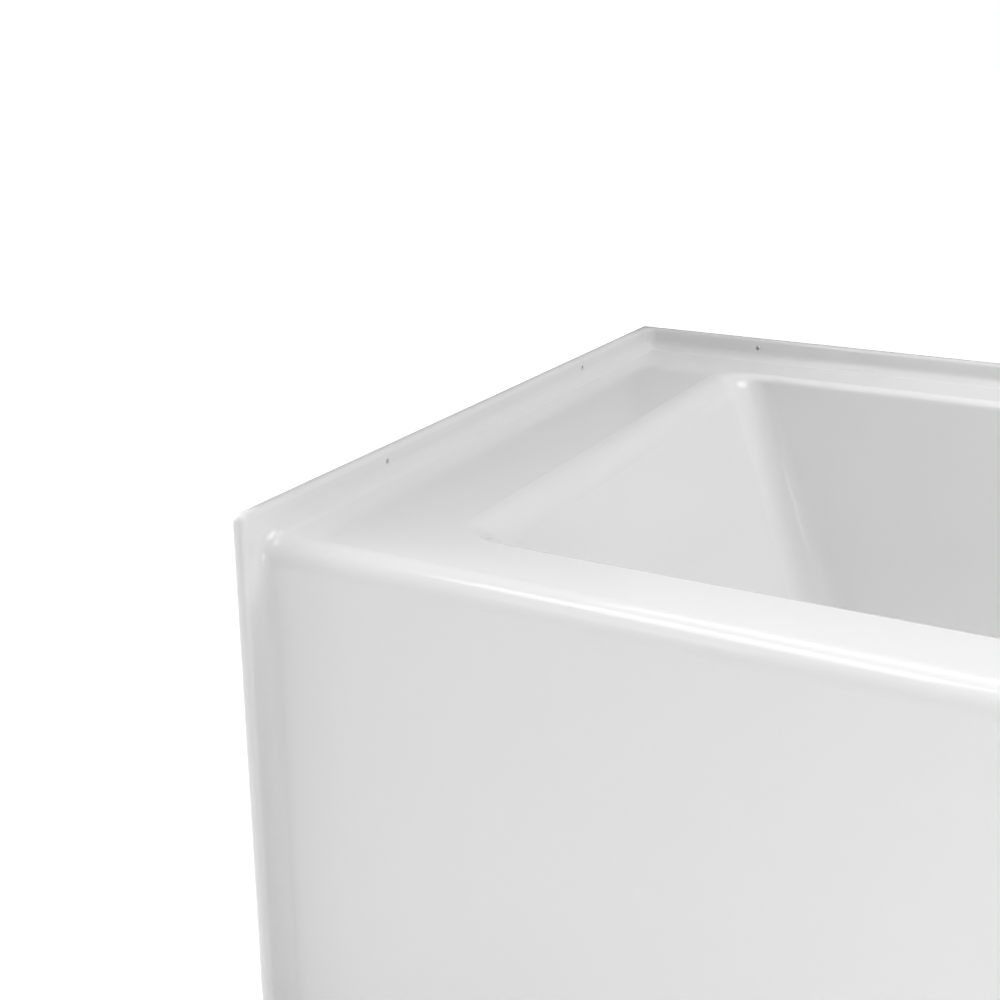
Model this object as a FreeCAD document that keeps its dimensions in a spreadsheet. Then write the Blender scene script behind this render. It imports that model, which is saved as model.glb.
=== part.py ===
import FreeCAD, Part
import math
import os
import re
import Sketcher

# Alcove bathtub with a right-hand pop-up waste. Millimetres, +Z up. The origin is the centre of the
# footprint on the floor, +X runs to the drain end and +Y to the back wall.

doc = FreeCAD.newDocument("alcove_bathtub")

# ---------------------------------------------------------------- driving dimensions

sheet = doc.addObject("Spreadsheet::Sheet", "size")
driving = {
    # envelope and moulded skin
    "tub_length": 1524.0,        # over the end flanges
    "tub_depth": 813.0,          # from the wings' front edge to the back flange
    "rim_height": 457.0,         # deck above the floor
    "upstand": 25.0,             # tiling flange above the deck
    "flange_thickness": 11.3,    # tiling flange and wings
    "flange_skirt": 16.0,        # tiling flange below the deck
    "wing_reach": 21.5,          # wings in front of the apron's face
    "wing_width": 62.0,          # wings from front to back
    "skin": 6.0,                 # moulded wall
    "bullnose": 20.6,            # rounded front edge of the deck
    "cove": 12.0,                # concave round where deck and apron meet flange and wings
    "edge_round": 4.5,           # convex round on the flange's and wings' edges
    "wing_corner": 7.0,          # corner of the wing seen from the side
    "toe_return": 30.0,          # lip turned in under the apron
    # basin
    "left_deck": 153.5,          # end flange's outer face to the basin wall, at the deck
    "right_deck": 119.0,
    "front_deck": 87.0,          # apron's face to the basin wall
    "back_deck": 85.5,           # back flange's outer face to the basin wall
    "basin_depth": 345.0,        # deck to the floor's low end
    "floor_fall": 6.0,           # rise of the floor from the drain end to the backrest
    "backrest_angle": 22.5,      # degrees from upright
    "drain_end_angle": 5.0,
    "side_angle": 5.0,
    "corner_at_rim": 32.0,       # plan radius of the basin's corners
    "corner_at_floor": 57.0,
    "floor_round": 50.0,
    "rim_round": 9.5,            # deck to the basin's walls
    "backrest_round": 34.0,      # deck to the backrest
    # drain and overflow seats
    "drain_inset": 277.0,        # end flange's outer face to the drain's centre
    "drain_hole": 50.8,
    "drain_seat": 84.0,
    "drain_seat_drop": 2.0,
    "overflow_drop": 92.0,       # deck to the overflow's centre
    "overflow_hole": 60.0,
    "overflow_seat": 92.0,
    "seat_margin": 6.0,
    # fixing holes in the tiling flange
    "fixing_hole": 5.0,
    "fixing_rise": 14.0,         # above the deck
    "back_outer_spacing": 1219.2,
    "back_inner_spacing": 406.4,
    "end_spacing": 406.4,
    # reinforcement
    "bond": 0.3,                 # glue line
    "board_length": 720.0,
    "board_width": 380.0,
    "board_thickness": 16.0,
    "board_shift": 40.0,         # board's centre left of the origin
    "bearer_width": 38.0,
    "bearer_spacing": 300.0,
    "pad_height": 10.0,
    "pad_length": 70.0,
    "pad_spacing": 290.0,
    "rail_width": 40.0,
    "rail_thickness": 19.0,
    "end_rail_length": 520.0,
    "long_rail_inset": 82.0,     # tub's end to the long rails' ends
    "batten_width": 38.0,
    "batten_thickness": 19.0,
    "batten_inset": 202.0,       # tub's end to an outer batten's middle
    "toe_rail_height": 38.0,
    # waste pipework
    "tube_diameter": 38.1,
    "tube_wall": 1.6,
    "fitting_wall": 3.4,
    "socket_depth": 22.0,
    "socket_gap": 0.1,           # radial room round a tube in its socket
    "waste_drop": 33.0,          # basin's underside to the waste tube's axis
    "overflow_reach": 42.0,      # overflow seat to the standing tube's axis
    "tee_reach": 44.0,           # tee's centre to each mouth
    "shoe_reach": 58.0,          # drain's centre to the shoe's mouth
    "shoe_radius": 28.0,
    "shoe_flange_radius": 34.0,
    "shoe_flange_thickness": 4.0,
    "tailpiece_length": 47.0,    # from its seat in the tee down to its open end
    "outlet_length": 16.0,       # tailpiece's open end, below its depth mark
    "depth_mark_width": 1.4,
    "depth_mark_depth": 0.45,
    "nut_radius": 29.0,
    "nut_length": 20.0,
    "nut_lip": 4.0,
    "washer_thickness": 3.0,
    # drain fitting
    "drain_gasket_thickness": 3.0,
    "drain_gasket_bore": 26.0,
    "drain_flange_radius": 36.0,
    "drain_flange_thickness": 2.6,
    "drain_bore": 19.4,
    "drain_tail_radius": 24.0,
    "drain_tail_length": 30.0,
    "drain_mouth_radius": 24.5,
    "drain_cone_depth": 5.0,
    # overflow fitting
    "overflow_gasket_thickness": 5.0,
    "overflow_gasket_bore": 31.0,
    "elbow_flange_radius": 40.0,
    "elbow_flange_thickness": 5.0,
    "elbow_radius": 27.0,
    "elbow_drop": 52.0,          # overflow's centre to the elbow's lower mouth
    "plate_radius": 40.0,
    "plate_rise": 9.0,
    "plate_metal": 1.6,
    "slot_height": 17.0,
    "slot_width": 5.2,
    "screw_spacing": 40.0,
    "screw_radius": 2.2,
    "screw_head_radius": 4.2,
    "screw_head_height": 2.4,
    "bracket_metal": 2.5,
    "bracket_length": 56.0,
    "bracket_height": 26.0,
    "bracket_slot_height": 15.0,
    "bracket_slot_width": 7.0,
    # trip lever and linkage
    "lever_pivot_inset": 2.7,    # pivot behind the overflow seat
    "lever_swing": 24.0,         # degrees, half above and half below level
    "lever_metal": 4.0,
    "lever_height": 6.0,
    "handle_reach": 38.0,
    "handle_width": 13.0,
    "handle_height": 7.0,
    "pin_radius": 1.5,
    "running_gap": 0.05,
    "free_gap": 0.4,             # between pieces that pass each other
    "yoke_cheek": 2.0,
    "yoke_width": 8.0,
    "yoke_depth": 12.0,
    "rod_radius": 2.4,
    "spring_radius": 5.4,
    "spring_wire": 1.5,
    "spring_pitch": 4.6,
    "spring_height": 27.6,
    "adjuster_radius": 7.5,
    "adjuster_height": 6.0,
    # rocker and stopper
    "rocker_tail": 110.0,        # rocker's fulcrum to the standing tube's axis
    "rocker_metal": 5.0,
    "rocker_height": 6.0,
    "rocker_drop": 8.0,          # fulcrum below the waste tube's axis
    "rocker_heel": 8.9,
    "rocker_overrun": 6.0,
    "stopper_radius": 26.0,
    "stopper_crown": 5.0,
    "stopper_edge": 2.4,
    "stopper_stand": 3.0,        # cap's underside above the drain seat
    "seal_radius": 21.8,
    "seal_bore": 8.0,
    "seal_thickness": 3.0,
    "stem_radius": 3.2,
    "fin_thickness": 2.0,
    "fin_height": 15.0,
}
for row, (name, number) in enumerate(driving.items(), start=1):
    sheet.set(f"A{row}", name)
    sheet.set(f"B{row}", str(number))
    sheet.setAlias(f"B{row}", name)
doc.recompute()

# ---------------------------------------------------------------- places worked out from them

places = doc.addObject("App::VarSet", "at")
worked = {}


def formula(text):
    """The expression with each size and place named in full."""
    def full(word):
        if word.group() in driving:
            return f"size.{word.group()}"
        return f"at.{word.group()}" if word.group() in worked else word.group()
    return re.sub(r"[a-z][a-z_]*", full, str(text))


def value(text):
    result = places.evalExpression(formula(text))
    return float(getattr(result, "Value", result))


def work_out(name, text):
    places.addProperty("App::PropertyFloat", name)
    places.setExpression(name, formula(text))
    worked[name] = text
    doc.recompute()


for name, text in (
    ("half_length", "tub_length / 2"),
    ("half_depth", "tub_depth / 2"),
    ("wing_face", "-half_depth"),
    ("apron_face", "wing_reach - half_depth"),
    ("flange_face", "half_depth - flange_thickness"),
    ("flange_end", "half_length - flange_thickness"),
    ("flange_top", "rim_height + upstand"),
    ("skirt_bottom", "rim_height - flange_skirt"),
    ("under_deck", "rim_height - skin"),
    ("behind_apron", "apron_face + skin"),
    ("basin_left", "left_deck - half_length"),
    ("basin_right", "half_length - right_deck"),
    ("basin_front", "apron_face + front_deck"),
    ("basin_back", "half_depth - back_deck"),
    ("low_end", "basin_right - basin_depth * tan(drain_end_angle)"),
    ("high_end", "basin_left + basin_depth * tan(backrest_angle)"),
    ("floor_level", "rim_height - basin_depth"),
    ("drain_x", "half_length - drain_inset"),
    ("drain_y", "(basin_front + basin_back) / 2"),
    ("drain_level", "floor_level - drain_seat_drop"),
    ("underside", "drain_level - skin"),
    ("overflow_level", "rim_height - overflow_drop"),
    ("overflow_x", "basin_right - overflow_drop * tan(drain_end_angle)"),
    ("behind_overflow", "overflow_x + skin"),
    ("fixing_level", "rim_height + fixing_rise"),
    ("board_bottom", "floor_level - skin - bond - board_thickness"),
    ("stack_x", "overflow_x + overflow_reach"),
    ("waste_level", "underside - waste_drop"),
    ("tube_radius", "tube_diameter / 2"),
    ("bore_radius", "tube_radius - tube_wall"),
    ("socket_radius", "tube_radius + socket_gap"),
    ("fitting_radius", "tube_radius + fitting_wall"),
    ("shoe_top", "underside - drain_gasket_thickness"),
    ("elbow_face", "behind_overflow + overflow_gasket_thickness"),
    ("pivot_x", "overflow_x + lever_pivot_inset"),
    ("lever_reach", "stack_x - pivot_x"),
    ("half_travel", "lever_reach * tan(lever_swing / 2)"),
    ("yoke_level", "overflow_level + half_travel"),
    ("half_rock", "asin(half_travel / rocker_tail)"),
    ("fulcrum_x", "stack_x - rocker_tail"),
    ("fulcrum_level", "waste_level - rocker_drop"),
    ("rocker_nose", "fulcrum_x - drain_x"),
    ("tail_top", "waste_level + half_travel + rocker_height / 2 / cos(half_rock)"),
    ("nose_top", "waste_level - rocker_nose * sin(half_rock) + rocker_height / 2 / cos(half_rock)"),
    ("spring_bottom", "tail_top + free_gap"),
    ("spring_top", "spring_bottom + spring_height"),
    ("adjuster_bottom", "spring_top + spring_wire / 2"),
    ("stem_bottom", "nose_top + free_gap"),
    ("yoke_bottom", "yoke_level - yoke_depth"),
):
    work_out(name, text)

# ---------------------------------------------------------------- ways of making a piece


def put(piece, x=0, y=0, z=0, yaw=0, pitch=0, roll=0):
    """Place a piece; pitch 90 lays its own Z along +X and roll -90 lays it along +Y."""
    where = f"vector({formula(x)}; {formula(y)}; {formula(z)})"
    turn = f"rotation({formula(yaw)}; {formula(pitch)}; {formula(roll)})"
    piece.setExpression("Placement", f"placement({where}; {turn})")
    return piece


def bind(piece, **sizes):
    for name, text in sizes.items():
        piece.setExpression(name, formula(text))
    return piece


def box(name, low, spans):
    piece = doc.addObject("Part::Box", name)
    bind(piece, Length=spans[0], Width=spans[1], Height=spans[2])
    return put(piece, *low)


def cylinder(name, centre, radius, length, **turn):
    piece = doc.addObject("Part::Cylinder", name)
    bind(piece, Radius=radius, Height=length)
    return put(piece, *centre, **turn)


def join(name, *pieces):
    piece = doc.addObject("Part::MultiFuse", name)
    piece.Shapes = pieces
    piece.Refine = True
    doc.recompute()
    return piece


def cut(name, base, *tools):
    piece = doc.addObject("Part::Cut", name)
    piece.Base = base
    piece.Tool = tools[0] if len(tools) == 1 else join(name + "_tools", *tools)
    piece.Refine = True
    doc.recompute()
    return piece


def group(name, *pieces):
    piece = doc.addObject("Part::Compound", name)
    piece.Links = pieces
    doc.recompute()
    return piece


def tangent_arc(before, corner, after, radius):
    """Arc that rounds a corner, and whether it turns left."""
    towards_before = (before - corner).normalize()
    towards_after = (after - corner).normalize()
    half = towards_before.getAngle(towards_after) / 2
    start = corner + towards_before * (radius / math.tan(half))
    end = corner + towards_after * (radius / math.tan(half))
    middle = (towards_before + towards_after).normalize()
    centre = corner + middle * (radius / math.sin(half))
    left = towards_before.cross(towards_after).z < 0
    first, last = (start, end) if left else (end, start)
    angles = [math.atan2(point.y - centre.y, point.x - centre.x) for point in (first, last)]
    circle = Part.Circle(centre, FreeCAD.Vector(0, 0, 1), radius)
    return Part.ArcOfCircle(circle, *angles), start, end, left


def outline(sketch, corners):
    """Closed loop of straight sides through corners (x, y) or (x, y, radius), all bound to the sizes."""
    points = [FreeCAD.Vector(value(corner[0]), value(corner[1]), 0) for corner in corners]
    count = len(corners)
    rounds = {}
    for i, corner in enumerate(corners):
        if len(corner) == 3:
            rounds[i] = tangent_arc(points[i - 1], points[i], points[(i + 1) % count], value(corner[2]))
    for i in range(count):
        after = (i + 1) % count
        start = rounds[i][2] if i in rounds else points[i]
        end = rounds[after][1] if after in rounds else points[after]
        sketch.addGeometry(Part.LineSegment(start, end), False)
    for i, corner in enumerate(corners):
        side_before = (i - 1) % count
        anchor = i
        if i in rounds:
            arc_shape, _, _, left = rounds[i]
            arc = sketch.addGeometry(arc_shape, False)
            anchor = sketch.addGeometry(Part.Point(points[i]), True)
            sketch.addConstraint(Sketcher.Constraint("PointOnObject", anchor, 1, side_before))
            sketch.addConstraint(Sketcher.Constraint("PointOnObject", anchor, 1, i))
            sketch.addConstraint(Sketcher.Constraint("Tangent", side_before, 2, arc, 1 if left else 2))
            sketch.addConstraint(Sketcher.Constraint("Tangent", arc, 2 if left else 1, i, 1))
            held = sketch.addConstraint(Sketcher.Constraint("Radius", arc, value(corner[2])))
            sketch.renameConstraint(held, f"round_{i}")
            sketch.setExpression(f"Constraints.round_{i}", formula(corner[2]))
        else:
            sketch.addConstraint(Sketcher.Constraint("Coincident", side_before, 2, i, 1))
        for axis, kind in enumerate(("DistanceX", "DistanceY")):
            held = sketch.addConstraint(Sketcher.Constraint(kind, -1, 1, anchor, 1, points[i][axis]))
            sketch.renameConstraint(held, f"corner_{i}_{'xy'[axis]}")
            sketch.setExpression(f"Constraints.corner_{i}_{'xy'[axis]}", formula(corner[axis]))


def drawn(body, name, role, corners, offset=0):
    """Sketch of an outline on one of the body's origin planes, moved along the plane's normal."""
    sketch = body.newObject("Sketcher::SketchObject", name)
    plane = next(item for item in body.Origin.OriginFeatures if item.Role == role)
    sketch.AttachmentSupport = [(plane, "")]
    sketch.MapMode = "FlatFace"
    sketch.setExpression("AttachmentOffset.Base.z", formula(offset))
    outline(sketch, corners)
    return sketch


def plate(name, role, corners, thickness, offset=0, midplane=False):
    """Body with one outline padded along the plane's normal, or to both sides of it."""
    body = doc.addObject("PartDesign::Body", name)
    sketch = drawn(body, name + "_outline", role, corners, offset)
    pad = body.newObject("PartDesign::Pad", name + "_pad")
    pad.Profile = sketch
    bind(pad, Length=thickness)
    pad.Midplane = midplane
    doc.recompute()
    return body


def turned(name, corners, **where):
    """Body turned about its own Z axis from an outline of (radius, height) corners."""
    body = doc.addObject("PartDesign::Body", name)
    sketch = drawn(body, name + "_outline", "XZ_Plane", corners)
    feature = body.newObject("PartDesign::Revolution", name + "_turned")
    feature.Profile = sketch
    feature.ReferenceAxis = (sketch, ["V_Axis"])
    feature.Angle = 360
    put(body, **where)
    doc.recompute()
    return body


def ring(name, inner, outer, height, **where):
    corners = [(inner, 0), (outer, 0), (outer, height), (inner, height)]
    return turned(name, corners, **where)


def rounded(name, base, radius, wanted):
    """Round each edge of the base that the test wants, by one radius or by the radius at each point."""
    radius_at = radius if callable(radius) else lambda point: value(radius)
    edges = [(i, radius_at(edge.valueAt(edge.FirstParameter)), radius_at(edge.valueAt(edge.LastParameter)))
             for i, edge in enumerate(base.Shape.Edges, start=1) if wanted(edge)]
    if not edges:
        raise RuntimeError(f"{name}: no edge to round")
    piece = doc.addObject("Part::Fillet", name)
    piece.Base = base
    piece.Edges = edges
    doc.recompute()
    return piece


def near(a, b):
    return abs(a - b) < 0.01


def lies_at(edge, axis, level):
    return all(near(vertex.Point[axis], level) for vertex in edge.Vertexes)


subparts = []


def named(piece, node):
    piece.Label = node
    subparts.append(piece)
    return piece


# ---------------------------------------------------------------- tub shell


def basin_section(body, name, level, grow):
    """Rounded rectangle of the basin at a height, grown outward by a wall."""
    below = f"(rim_height - ({level}))"
    along = f"{below} / basin_depth"
    corner = f"corner_at_rim + (corner_at_floor - corner_at_rim) * {along} + ({grow})"
    left = f"basin_left + {below} * tan(backrest_angle) - ({grow}) / cos(backrest_angle)"
    right = f"basin_right - {below} * tan(drain_end_angle) + ({grow}) / cos(drain_end_angle)"
    front = f"basin_front + {below} * tan(side_angle) - ({grow}) / cos(side_angle)"
    back = f"basin_back - {below} * tan(side_angle) + ({grow}) / cos(side_angle)"
    corners = [(left, front, corner), (right, front, corner), (right, back, corner), (left, back, corner)]
    return drawn(body, name, "XY_Plane", corners, level)


def basin_form(name, top, grow, floor_left, floor_right):
    """Basin form from a top level down to a floor given at both ends of the tub, with a rounded foot."""
    body = doc.addObject("PartDesign::Body", name + "_walls")
    low = f"(floor_level - 2 * floor_fall - ({grow}))"
    upper = basin_section(body, name + "_top", top, grow)
    lower = basin_section(body, name + "_bottom", low, grow)
    loft = body.newObject("PartDesign::AdditiveLoft", name + "_loft")
    loft.Profile = lower
    loft.Sections = [upper]
    loft.Ruled = True
    below_floor = plate(name + "_below", "XZ_Plane", [
        ("-half_length", f"{low} - skin"), ("half_length", f"{low} - skin"),
        ("half_length", floor_right), ("-half_length", floor_left)], "tub_depth", midplane=True)
    on_floor_form = cut(name + "_on_floor", body, below_floor)
    left_level = value(floor_left)
    climb = (value(floor_right) - left_level) / value("tub_length")

    def on_floor(edge):
        middle = edge.valueAt((edge.FirstParameter + edge.LastParameter) / 2)
        points = [vertex.Point for vertex in edge.Vertexes] + [middle]
        return all(near(point.z, left_level + (point.x + value("half_length")) * climb) for point in points)

    return rounded(name, on_floor_form, f"floor_round + ({grow})", on_floor)


# The basin's outside has a level underside; its inside has a floor that falls to the drain.
hull = basin_form("hull", "rim_height - skin / 2", "skin", "floor_level - skin", "floor_level - skin")
cavity = basin_form("cavity", "rim_height", "0",
                    "floor_level + (half_length + low_end) * floor_fall / (low_end - high_end)",
                    "floor_level - (half_length - low_end) * floor_fall / (low_end - high_end)")

# Deck, bullnose, apron and back flange are one folded wall, the same all along the tub.
long_wall = plate("long_wall", "YZ_Plane", [
    ("apron_face", "0"),
    ("apron_face", "rim_height", "bullnose"),
    ("flange_face", "rim_height"),
    ("flange_face", "flange_top"),
    ("half_depth", "flange_top"),
    ("half_depth", "skirt_bottom"),
    ("flange_face", "skirt_bottom"),
    ("flange_face", "under_deck"),
    ("behind_apron", "under_deck", "bullnose - skin"),
    ("behind_apron", "skin"),
    ("apron_face + toe_return", "skin"),
    ("apron_face + toe_return", "0")],
    "tub_length - flange_thickness", midplane=True)


def end_wall(name, offset):
    """End flange with its wing, which runs down to the floor in front of the apron."""
    return plate(name, "YZ_Plane", [
        ("wing_face", "0"),
        ("wing_face", "flange_top", "wing_corner"),
        ("half_depth", "flange_top"),
        ("half_depth", "skirt_bottom"),
        ("wing_face + wing_width", "skirt_bottom", "wing_corner"),
        ("wing_face + wing_width", "0")],
        "flange_thickness", offset)


drain_boss = cylinder("drain_boss", ("drain_x", "drain_y", "underside"), "drain_seat / 2 + seat_margin",
                      "skin + drain_seat_drop")
overflow_boss = cylinder("overflow_boss", ("overflow_x", "drain_y", "overflow_level"),
                         "overflow_seat / 2 + seat_margin", "skin", pitch=90)
case = join("case", long_wall, end_wall("left_end_wall", "-half_length"),
            end_wall("right_end_wall", "flange_end"))


def in_cove(edge):
    """Edges where the flange's and wings' inner faces meet the deck, the bullnose and the apron."""
    at_back = lies_at(edge, 1, value("flange_face"))
    on_deck = lies_at(edge, 2, value("rim_height"))
    on_bullnose = near(getattr(edge.Curve, "Radius", 0), value("bullnose"))
    above_deck = edge.BoundBox.ZMin > value("rim_height") - 0.01
    at_end = lies_at(edge, 0, value("flange_end")) or lies_at(edge, 0, -value("flange_end"))
    on_front = on_deck or on_bullnose or lies_at(edge, 1, value("apron_face"))
    return (at_back and on_deck) or (at_end and (on_front or (at_back and above_deck)))


coved = rounded("coved_case", case, "cove", in_cove)


def on_free_edge(edge):
    """Top edges of the flange and front edges of the wings, inside and outside."""
    middle = edge.valueAt((edge.FirstParameter + edge.LastParameter) / 2)
    points = [vertex.Point for vertex in edge.Vertexes] + [middle]
    across = edge.BoundBox.YLength < 0.01 and edge.BoundBox.XLength < value("flange_thickness") + 0.01
    on_top = all(near(point.z, value("flange_top")) for point in points) and not across
    at_end = any(all(near(point.x, side * value(level)) for point in points)
                 for level in ("flange_end", "half_length") for side in (-1, 1))
    at_front = all(point.y < value("wing_face + wing_corner") + 0.01 for point in points)
    upright = edge.BoundBox.ZLength > 0.01 and edge.BoundBox.YLength < value("wing_corner") + 0.01
    return on_top or (at_end and at_front and upright)


softened = rounded("softened_case", coved, "edge_round", on_free_edge)
walled = join("walled", softened, hull, drain_boss, overflow_boss)

drain_recess = cylinder("drain_recess", ("drain_x", "drain_y", "drain_level"), "drain_seat / 2",
                        "basin_depth / 2")
drain_opening = cylinder("drain_opening", ("drain_x", "drain_y", "underside - skin"), "drain_hole / 2",
                         "basin_depth / 2")
overflow_recess = cylinder("overflow_recess", ("overflow_x - basin_depth / 4", "drain_y", "overflow_level"),
                           "overflow_seat / 2", "basin_depth / 4", pitch=90)
overflow_opening = cylinder("overflow_opening", ("overflow_x - skin", "drain_y", "overflow_level"),
                            "overflow_hole / 2", "skin * 4", pitch=90)
fixing_holes = []
for spacing in ("back_outer_spacing", "back_inner_spacing"):
    for side in ("-", ""):
        fixing_holes.append(cylinder("back_fixing",
                                     (f"{side}{spacing} / 2", "flange_face - skin", "fixing_level"),
                                     "fixing_hole / 2", "flange_thickness + 2 * skin", roll=-90))
for end in ("-half_length - skin", "flange_end - skin"):
    for side in ("-", ""):
        fixing_holes.append(cylinder("end_fixing", (end, f"{side}end_spacing / 2", "fixing_level"),
                                     "fixing_hole / 2", "flange_thickness + 2 * skin", pitch=90))
overflow_spotface = cylinder("overflow_spotface", ("behind_overflow", "drain_y", "overflow_level"),
                             "overflow_seat / 2", "skin * 2", pitch=90)
hollowed = cut("hollowed", walled, cavity)


def on_rim(edge):
    space = edge.BoundBox
    in_length = space.XMin > value("basin_left") - 0.01 and space.XMax < value("basin_right") + 0.01
    in_depth = space.YMin > value("basin_front") - 0.01 and space.YMax < value("basin_back") + 0.01
    return in_length and in_depth and lies_at(edge, 2, value("rim_height"))


def rim_radius(point):
    """Softer along the backrest; the corners run from one radius to the other."""
    return value("backrest_round" if near(point.x, value("basin_left")) else "rim_round")


rimmed = rounded("rimmed", hollowed, rim_radius, on_rim)
named(cut("shell", rimmed, drain_recess, drain_opening, overflow_recess, overflow_spotface,
          overflow_opening, *fixing_holes), "tub_shell")

# ---------------------------------------------------------------- reinforcement

named(box("board", ("-board_length / 2 - board_shift", "drain_y - board_width / 2", "board_bottom"),
          ("board_length", "board_width", "board_thickness")), "floor_board")

pads = []
for side, shift in (("left", "-bearer_spacing"), ("middle", "0"), ("right", "bearer_spacing")):
    middle = f"({shift} - board_shift)"
    named(box(side + "_bearer", (f"{middle} - bearer_width / 2", "drain_y - board_width / 2", "pad_height"),
              ("bearer_width", "board_width", "board_bottom - pad_height")), "bearer_" + side)
    for step in ("-", ""):
        pads.append(box(side + "_pad", (f"{middle} - bearer_width / 2",
                                        f"drain_y {step or '+'} pad_spacing / 2 - pad_length / 2", "0"),
                        ("bearer_width", "pad_length", "pad_height")))
named(group("pads", *pads), "foot_pads")

rail_level = "under_deck - bond - rail_thickness"
rail_start = "-half_length + long_rail_inset"
rail_length = "tub_length - 2 * long_rail_inset"
for node, y in (("front_rim_rail", "behind_apron + bullnose + bond"),
                ("back_rim_rail", "flange_face - bullnose - rail_width")):
    named(box(node + "_box", (rail_start, y, rail_level), (rail_length, "rail_width", "rail_thickness")),
          node)
for node, x in (("left_rim_rail", "-flange_end + bullnose + bond"),
                ("right_rim_rail", "flange_end - bullnose - rail_width")):
    named(box(node + "_box", (x, "drain_y - end_rail_length / 2", rail_level),
              ("rail_width", "end_rail_length", "rail_thickness")), node)

named(box("toe_box", (rail_start, "behind_apron + bond", "skin + bond"),
          (rail_length, "batten_thickness", "toe_rail_height")), "toe_rail")
batten_foot = "skin + 2 * bond + toe_rail_height"
for side, middle in (("left", "batten_inset - half_length"), ("middle", "0"),
                     ("right", "half_length - batten_inset")):
    named(box(side + "_batten", (f"{middle} - batten_width / 2", "behind_apron + bond", batten_foot),
              ("batten_width", "batten_thickness", f"rim_height - bullnose - ({batten_foot})")),
          "apron_batten_" + side)

# ---------------------------------------------------------------- waste pipework

# A tube's end goes into a fitting's socket, where a slip nut presses a washer on it.
waste_tube_start = "(drain_x + shoe_reach - socket_depth)"
waste_tube_end = "(stack_x - tee_reach + socket_depth)"
named(ring("waste_pipe", "bore_radius", "tube_radius", f"{waste_tube_end} - {waste_tube_start}",
           x=waste_tube_start, y="drain_y", z="waste_level", pitch=90), "waste_tube")
stack_start = "(waste_level + tee_reach - socket_depth)"
stack_end = "(overflow_level - elbow_drop + socket_depth)"
named(ring("overflow_pipe", "bore_radius", "tube_radius", f"{stack_end} - {stack_start}",
           x="stack_x", y="drain_y", z=stack_start), "overflow_tube")
tail_start = "waste_level - tee_reach + socket_depth - tailpiece_length"
named(turned("tail_pipe", [
    ("bore_radius", "0"), ("tube_radius", "0"), ("tube_radius", "outlet_length"),
    ("tube_radius - depth_mark_depth", "outlet_length"),
    ("tube_radius - depth_mark_depth", "outlet_length + depth_mark_width"),
    ("tube_radius", "outlet_length + depth_mark_width"), ("tube_radius", "tailpiece_length"),
    ("bore_radius", "tailpiece_length")], x="stack_x", y="drain_y", z=tail_start), "tailpiece")

tee_bottom = "waste_level - tee_reach"
tee_body = join("tee_body",
                cylinder("tee_stack", ("stack_x", "drain_y", tee_bottom), "fitting_radius", "2 * tee_reach"),
                cylinder("tee_branch", ("stack_x - tee_reach", "drain_y", "waste_level"), "fitting_radius",
                         "tee_reach", pitch=90))
named(cut("tee", tee_body,
          cylinder("tee_bore", ("stack_x", "drain_y", tee_bottom), "bore_radius", "2 * tee_reach"),
          cylinder("tee_side_bore", ("stack_x - tee_reach", "drain_y", "waste_level"), "bore_radius",
                   "tee_reach", pitch=90),
          cylinder("tee_low_socket", ("stack_x", "drain_y", tee_bottom), "socket_radius", "socket_depth"),
          cylinder("tee_high_socket", ("stack_x", "drain_y", "waste_level + tee_reach - socket_depth"),
                   "socket_radius", "socket_depth"),
          cylinder("tee_side_socket", ("stack_x - tee_reach", "drain_y", "waste_level"), "socket_radius",
                   "socket_depth", pitch=90)),
      "waste_tee")


def slip_joint(name, mouth, way, **turn):
    """Nut with its washer over a tee's mouth, which opens along the way given."""
    octagon = doc.addObject("Part::Prism", name + "_octagon")
    octagon.Polygon = 8
    bind(octagon, Circumradius="nut_radius", Height="nut_length")
    inside = turned(name + "_inside", [
        ("0", "-skin"), ("socket_gap + fitting_radius", "-skin"),
        ("socket_gap + fitting_radius", "nut_length - nut_lip"),
        ("socket_radius + free_gap", "nut_length - nut_lip"),
        ("socket_radius + free_gap", "nut_length + skin"), ("0", "nut_length + skin")])
    over_mouth = "(nut_length - nut_lip - washer_thickness)"
    start = [f"{level} - ({along}) * {over_mouth}" for level, along in zip(mouth, way)]
    named(put(cut(name + "_thread", octagon, inside), *start, **turn), name + "_nut")
    x, y, z = mouth
    named(ring(name + "_ring", "socket_radius", "fitting_radius", "washer_thickness", x=x, y=y, z=z, **turn),
          name + "_washer")


slip_joint("stack", ("stack_x", "drain_y", "waste_level + tee_reach"), (0, 0, 1))
slip_joint("outlet", ("stack_x", "drain_y", tee_bottom), (0, 0, -1), roll=180)
slip_joint("branch", ("stack_x - tee_reach", "drain_y", "waste_level"), (-1, 0, 0), pitch=-90)

# ---------------------------------------------------------------- drain fitting

drain = {"x": "drain_x", "y": "drain_y"}
named(turned("drain_body", [
    ("drain_bore", "-drain_tail_length"), ("drain_tail_radius", "-drain_tail_length"),
    ("drain_tail_radius", "0"), ("drain_flange_radius", "0"),
    ("drain_flange_radius", "drain_flange_thickness", "drain_flange_thickness / 2"),
    ("drain_mouth_radius", "drain_flange_thickness"), ("drain_bore", "-drain_cone_depth")],
    z="drain_level", **drain), "drain_flange")
named(ring("gasket_ring", "drain_gasket_bore", "shoe_flange_radius", "drain_gasket_thickness",
           z="shoe_top", **drain), "drain_gasket")

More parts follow.
